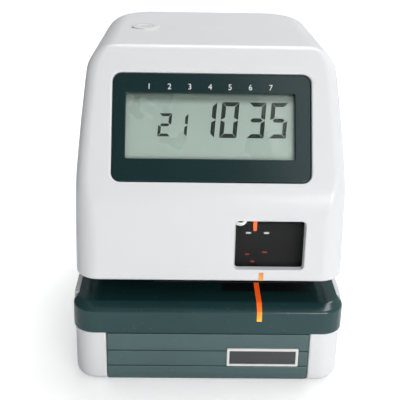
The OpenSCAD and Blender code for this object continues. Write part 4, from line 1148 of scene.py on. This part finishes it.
def make_lock():
    """The lock's pale collar with a dished face, and its barrel with the key slot and cam."""
    x, y = LOCK_PLACE
    bore = LOCK_RADIUS - mm(3.45)
    collar = turned("lock_collar", [
        (bore, ring_low.z), (LOCK_RADIUS - mm(2), ring_low.z),
        *[(LOCK_RADIUS - mm(r), LOCK_TOP - mm(z))
          for r, z in ((2, 1.4), (0, 1.4), (0, 0.5), (0.15, 0.15), (0.5, 0))],
        (bore + mm(0.3), LOCK_TOP - mm(0.05)), (bore, LOCK_TOP - mm(0.35)),
    ], LOCK_PLACE, 96)
    hand_over(smooth(close_bore(collar)), "cover", "bright_steel", "lock_ring",
              finish="white_plastic")
    face, cam_top = LOCK_TOP - mm(0.3), plug_low.z + mm(2)
    radius = LOCK_RADIUS - mm(3.5)
    plug = turned("lock_barrel", [
        (mm(5.5), plug_low.z), (mm(5.5), cam_top), (radius, cam_top),
        (radius, face - mm(0.3)), (radius - mm(0.3), face)], LOCK_PLACE, 72)
    cam_half, slot_reach, slot_half, slot_depth = mm(3.5, 3, 0.6, 4)
    cam = block("cam", (x - cam_half, y, plug_low.z), (x + cam_half, plug_high.y, cam_top))
    cut(plug, soften(cam, mm(0.3)), how="UNION")
    cut(plug, block("slot", (x - slot_reach, y - slot_half, face - slot_depth),
                    (x + slot_reach, y + slot_half, face + mm(1))))
    hand_over(smooth(plug), "lock", "bright_steel", "lock_plug", finish="white_plastic")


make_lock()

# ---- Behind the viewing window ----

MASK_FACE, MASK_FOOT = mask_low.y + mm(3.5), mask_low.z + mm(1.2)
MASK_LEAN = mm(1.2)
# Left, right, foot and head of the dashes on the mask, in millimetres
PALE_DASHES = [(19.9, 22.6, 89.6, 90.4), (29.8, 32.6, 89.6, 90.4)]
RED_DASHES = [(19.8, 22.1, 77.05, 77.55), (29.2, 32.0, 78.35, 78.85), (22.8, 25.0, 72.75, 73.25)]


def on_mask(z):
    """How far back the mask's leaning face is at a height."""
    return MASK_FACE + MASK_LEAN * (z - MASK_FOOT) / (mask_high.z - MASK_FOOT)


def mask_mark(name, outline):
    """A thin mark on the mask from its [x, z] outline."""
    return loft(name, [
        [(x, on_mask(z) - out, z) for x, z in outline] for out in mm(0.25, -0.05)])


def make_marks():
    """The pointer, the dashes and a pale guide ring on the mask."""
    pointer = mask_mark("mask_pointer", mm((24.0, 91.2), (25.6, 91.2), (25.9, 96.8), (23.7, 96.8)))
    hand_over(pointer, "body", "orange_mark")
    for name, dashes, slot, finish in (
            ("pale_dashes", PALE_DASHES, "badge_white", "badge_white"),
            ("red_dashes", RED_DASHES, "red_button", "red_dashes")):
        marks = [
            mask_mark("dash", mm((x0, z0), (x1, z0), (x1, z1), (x0, z1)))
            for x0, x1, z0, z1 in dashes]
        hand_over(joined(name, marks), "body", slot, finish=finish)
    ring = close_bore(turned("guide_ring", mm(
        (2, 0.2), (2, -1.8), (2.3, -2), (3.6, -2), (4, -1.6), (4, 0.2)), steps=48))
    middle = shift(mm(16.4), on_mask(mask_high.z), mask_high.z + mm(2.8))
    hand_over(smooth(moved(ring, middle @ turn(-90, "X"))), "body", "white_plastic")


make_marks()

# ---- Repeated detail, made by geometry nodes ----

LEG_PITCH = mm(2.54)


def row_tree(name, finish, thing, count, pitch, *sizes):
    """A tree that sets copies of a thing in a row along X, as real geometry with its finish."""
    tree = bpy.data.node_groups.new(name, "GeometryNodeTree")
    shape = {"name": "Geometry", "socket_type": "NodeSocketGeometry"}
    tree.interface.new_socket(in_out="INPUT", **shape)
    for size, kind, value in (("Count", "Int", count), ("Pitch", "Float", pitch),
                              *[(size, "Float", value) for size, value in sizes]):
        socket = tree.interface.new_socket(size, in_out="INPUT", socket_type="NodeSocket" + kind)
        socket.default_value = value
    tree.interface.new_socket(in_out="OUTPUT", **shape)
    given = tree.nodes.new("NodeGroupInput").outputs
    step = add(tree, "CombineXYZ", {0: given["Pitch"]})
    row = add(tree, "GeometryNodeMeshLine", {"Count": given["Count"], "Offset": step.outputs[0]},
              mode="OFFSET")
    copies = add(tree, "GeometryNodeInstanceOnPoints", {
        "Points": row.outputs[0], "Instance": thing(tree, given)})
    real = add(tree, "GeometryNodeRealizeInstances", {0: copies.outputs[0]})
    painted = add(tree, "GeometryNodeSetMaterial", {
        0: real.outputs[0], "Material": finishes[finish]})
    tree.links.new(painted.outputs[0], tree.nodes.new("NodeGroupOutput").inputs[0])
    return tree


def grown(name, tree, place, **values):
    """A piece made by the tree, with its named inputs set."""
    piece = new_piece(name, bmesh.new())
    step = piece.modifiers.new("grow", "NODES")
    step.node_group = tree
    for item in tree.interface.items_tree:
        if item.in_out == "INPUT" and item.name in values:
            step[item.identifier] = values[item.name]
    return moved(settle(piece), place)


def times(tree, value, by):
    return add(tree, "Math", {0: value, 1: by}, operation="MULTIPLY").outputs[0]


def cube(tree, *sizes):
    size = add(tree, "CombineXYZ", dict(enumerate(sizes)))
    return add(tree, "GeometryNodeMeshCube", {"Size": size.outputs[0]}).outputs["Mesh"]


def together(tree, *shapes):
    both = add(tree, "GeometryNodeJoinGeometry")
    for shape in shapes:
        tree.links.new(shape, both.inputs[0])
    return both.outputs[0]


def chip_leg(tree, given):
    """A bent leg: a shoulder out of the chip and a pin down to the board."""
    pin = cube(tree, mm(0.55), mm(0.3), given["Drop"])
    where = add(tree, "CombineXYZ", {
        1: times(tree, given["Reach"], -0.5), 2: times(tree, given["Drop"], -0.5)})
    placed = add(tree, "GeometryNodeTransform", {0: pin, "Translation": where.outputs[0]})
    return together(tree, cube(tree, mm(0.9), given["Reach"], mm(0.3)), placed.outputs[0])


def belt_tooth(tree, given):
    return cube(tree, mm(1), given["Height"], given["Width"])


def resistor(tree, given):
    """A small resistor that lies across the row."""
    barrel = add(tree, "GeometryNodeMeshCylinder", {
        "Vertices": 16, "Radius": given["Radius"], "Depth": given["Length"]})
    lead = add(tree, "GeometryNodeMeshCylinder", {
        "Vertices": 8, "Radius": times(tree, given["Radius"], 0.3),
        "Depth": times(tree, given["Length"], 1.7)})
    both = together(tree, barrel.outputs["Mesh"], lead.outputs["Mesh"])
    return add(tree, "GeometryNodeTransform", {
        0: both, "Rotation": (math.pi / 2, 0, 0)}).outputs[0]


# Left, back, width, length and height of the chips on the main board, in millimetres
CHIPS = [(-34, 10, 36, 12, 3), (8, 12, 14, 8, 3), (26, 12, 14, 8, 3), (-34, 3, 10, 5, 2.4)]


def make_board_parts():
    """Chip legs and resistors on the main board."""
    board_low, board_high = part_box("main_board")
    front, top = board_low.y, board_high.z
    tree = row_tree("chip_legs", "screw_steel", chip_leg, 8, LEG_PITCH,
                    ("Reach", mm(0.9)), ("Drop", mm(1.5)))
    legs = []
    for left, back, width, length, tall in mm(*CHIPS):
        count = int(width / LEG_PITCH)
        span = (count - 1) * LEG_PITCH
        first = left + (width - span) / 2
        for start, y, degrees in ((first, back - mm(0.4), 0),
                                  (first + span, back + length + mm(0.4), 180)):
            place = shift(start, front + y, top + tall * 0.5) @ turn(degrees, "Z")
            legs.append(grown("legs", tree, place, Count=count, Drop=tall * 0.5))
    hand_over(joined("chip_legs", legs), "body", "screw_steel")
    tree = row_tree("resistors", "resistor_body", resistor, 5, mm(3.4),
                    ("Length", mm(4)), ("Radius", mm(0.8)))
    rows = grown("resistors", tree, shift(mm(-18), front + mm(5.6), top + mm(0.8)))
    hand_over(smooth(rows), "body", "coil_wrap", finish="resistor_body")


def make_belt_teeth():
    """Teeth on the inner side of the belt's two straight runs."""
    low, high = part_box("drive_belt")
    pitch, inside = mm(2, 1.4)
    radius = (high.y - low.y) / 2
    count = int((high.x - low.x - 2 * radius) / pitch)
    tree = row_tree("belt_teeth", "rubber_black", belt_tooth, count, pitch,
                    ("Width", mm(5.6)), ("Height", mm(0.5)))
    rows = [
        grown("teeth", tree, shift(low.x + radius + mm(1), y, (low.z + high.z) / 2))
        for y in (low.y + inside, high.y - inside)]
    hand_over(joined("belt_teeth", rows), "body", "rubber_black")


make_board_parts()
make_belt_teeth()

# ---- Floor, light and background ----

FLOOR_SIZE = 8.0
FLOOR_DROP = mm(0.02)
FLOOR_LIFT = 0.45
ROOM_COLOUR = (0.97, 0.985, 1.0, 1)
# The way to the room's bright side, and how bright the room is from its dim side to there
BRIGHT_SIDE = (0.95, 0.05, 0.30)
DIM_AT, BRIGHT_AT = -0.4, 0.9
DIM_ROOM, BRIGHT_ROOM = 0.10, 0.52
# Name, place, height that it points at, width, height, power and colour of each lamp
LAMPS = [
    ("softbox", (0.80, -1.55, 1.40), 0.14, 1.2, 1.1, 6, (1.0, 0.995, 0.99)),
    ("key", (0.75, -1.95, 0.42), 0.10, 0.9, 0.6, 18, (1.0, 0.995, 0.985)),
    ("top", (0.35, 0.55, 1.65), 0.10, 1.1, 1.1, 21, (1, 1, 1)),
]


def make_floor():
    """A plain pale floor that is white to the camera, apart from the object's shadow."""
    material = new_finish("floor", (0.90, 0.90, 0.90), 0.6, Emission_Color=(1, 1, 1, 1))
    grain = between(material, noise(material, 40, 4), 0.3, 0.7)
    ray = add(material, "LightPath").outputs["Is Camera Ray"]
    lift = add(material, "Math", {0: ray, 1: FLOOR_LIFT}, operation="MULTIPLY").outputs[0]
    dress(material, Base_Color=mixed(material, grain, (0.89, 0.89, 0.89), (0.91, 0.91, 0.91)),
          Emission_Strength=lift)
    shape = bmesh.new()
    bmesh.ops.create_grid(shape, x_segments=8, y_segments=8, size=FLOOR_SIZE / 2)
    floor = new_piece("floor", shape)
    floor.location.z = -FLOOR_DROP
    floor.data.materials.append(material)


def make_world():
    """White to the camera and through glass, and dimmer where it lights the object."""
    world = bpy.data.worlds.new("world")
    bpy.context.scene.world = world
    world.use_nodes = True
    ray = add(world, "LightPath").outputs
    seen = add(world, "Math", {0: ray["Is Camera Ray"], 1: ray["Is Transmission Ray"]},
               operation="MAXIMUM")
    towards = add(world, "VectorMath", {
        0: add(world, "TexCoord").outputs["Generated"], 1: BRIGHT_SIDE},
        operation="DOT_PRODUCT")
    room = between(world, towards.outputs["Value"], DIM_AT, BRIGHT_AT, DIM_ROOM, BRIGHT_ROOM)
    level = between(world, seen.outputs[0], 0.0, 1.0, room, 1.0)
    ground = world.node_tree.nodes["Background"]
    ground.inputs["Color"].default_value = ROOM_COLOUR
    world.node_tree.links.new(level, ground.inputs["Strength"])


def make_lamp(name, place, target, width, height, power, colour):
    lamp = bpy.data.lights.new(name, "AREA")
    lamp.shape = "RECTANGLE"
    lamp.size, lamp.size_y = width, height
    lamp.energy = power
    lamp.color = colour
    holder = bpy.data.objects.new(name, lamp)
    holder.location = place
    aim = Vector((0, 0, target)) - Vector(place)
    holder.rotation_euler = aim.to_track_quat("-Z", "Y").to_euler()
    bpy.context.scene.collection.objects.link(holder)


make_floor()
make_world()
for lamp in LAMPS:
    make_lamp(*lamp)

bpy.context.scene.view_settings.view_transform = "Standard"
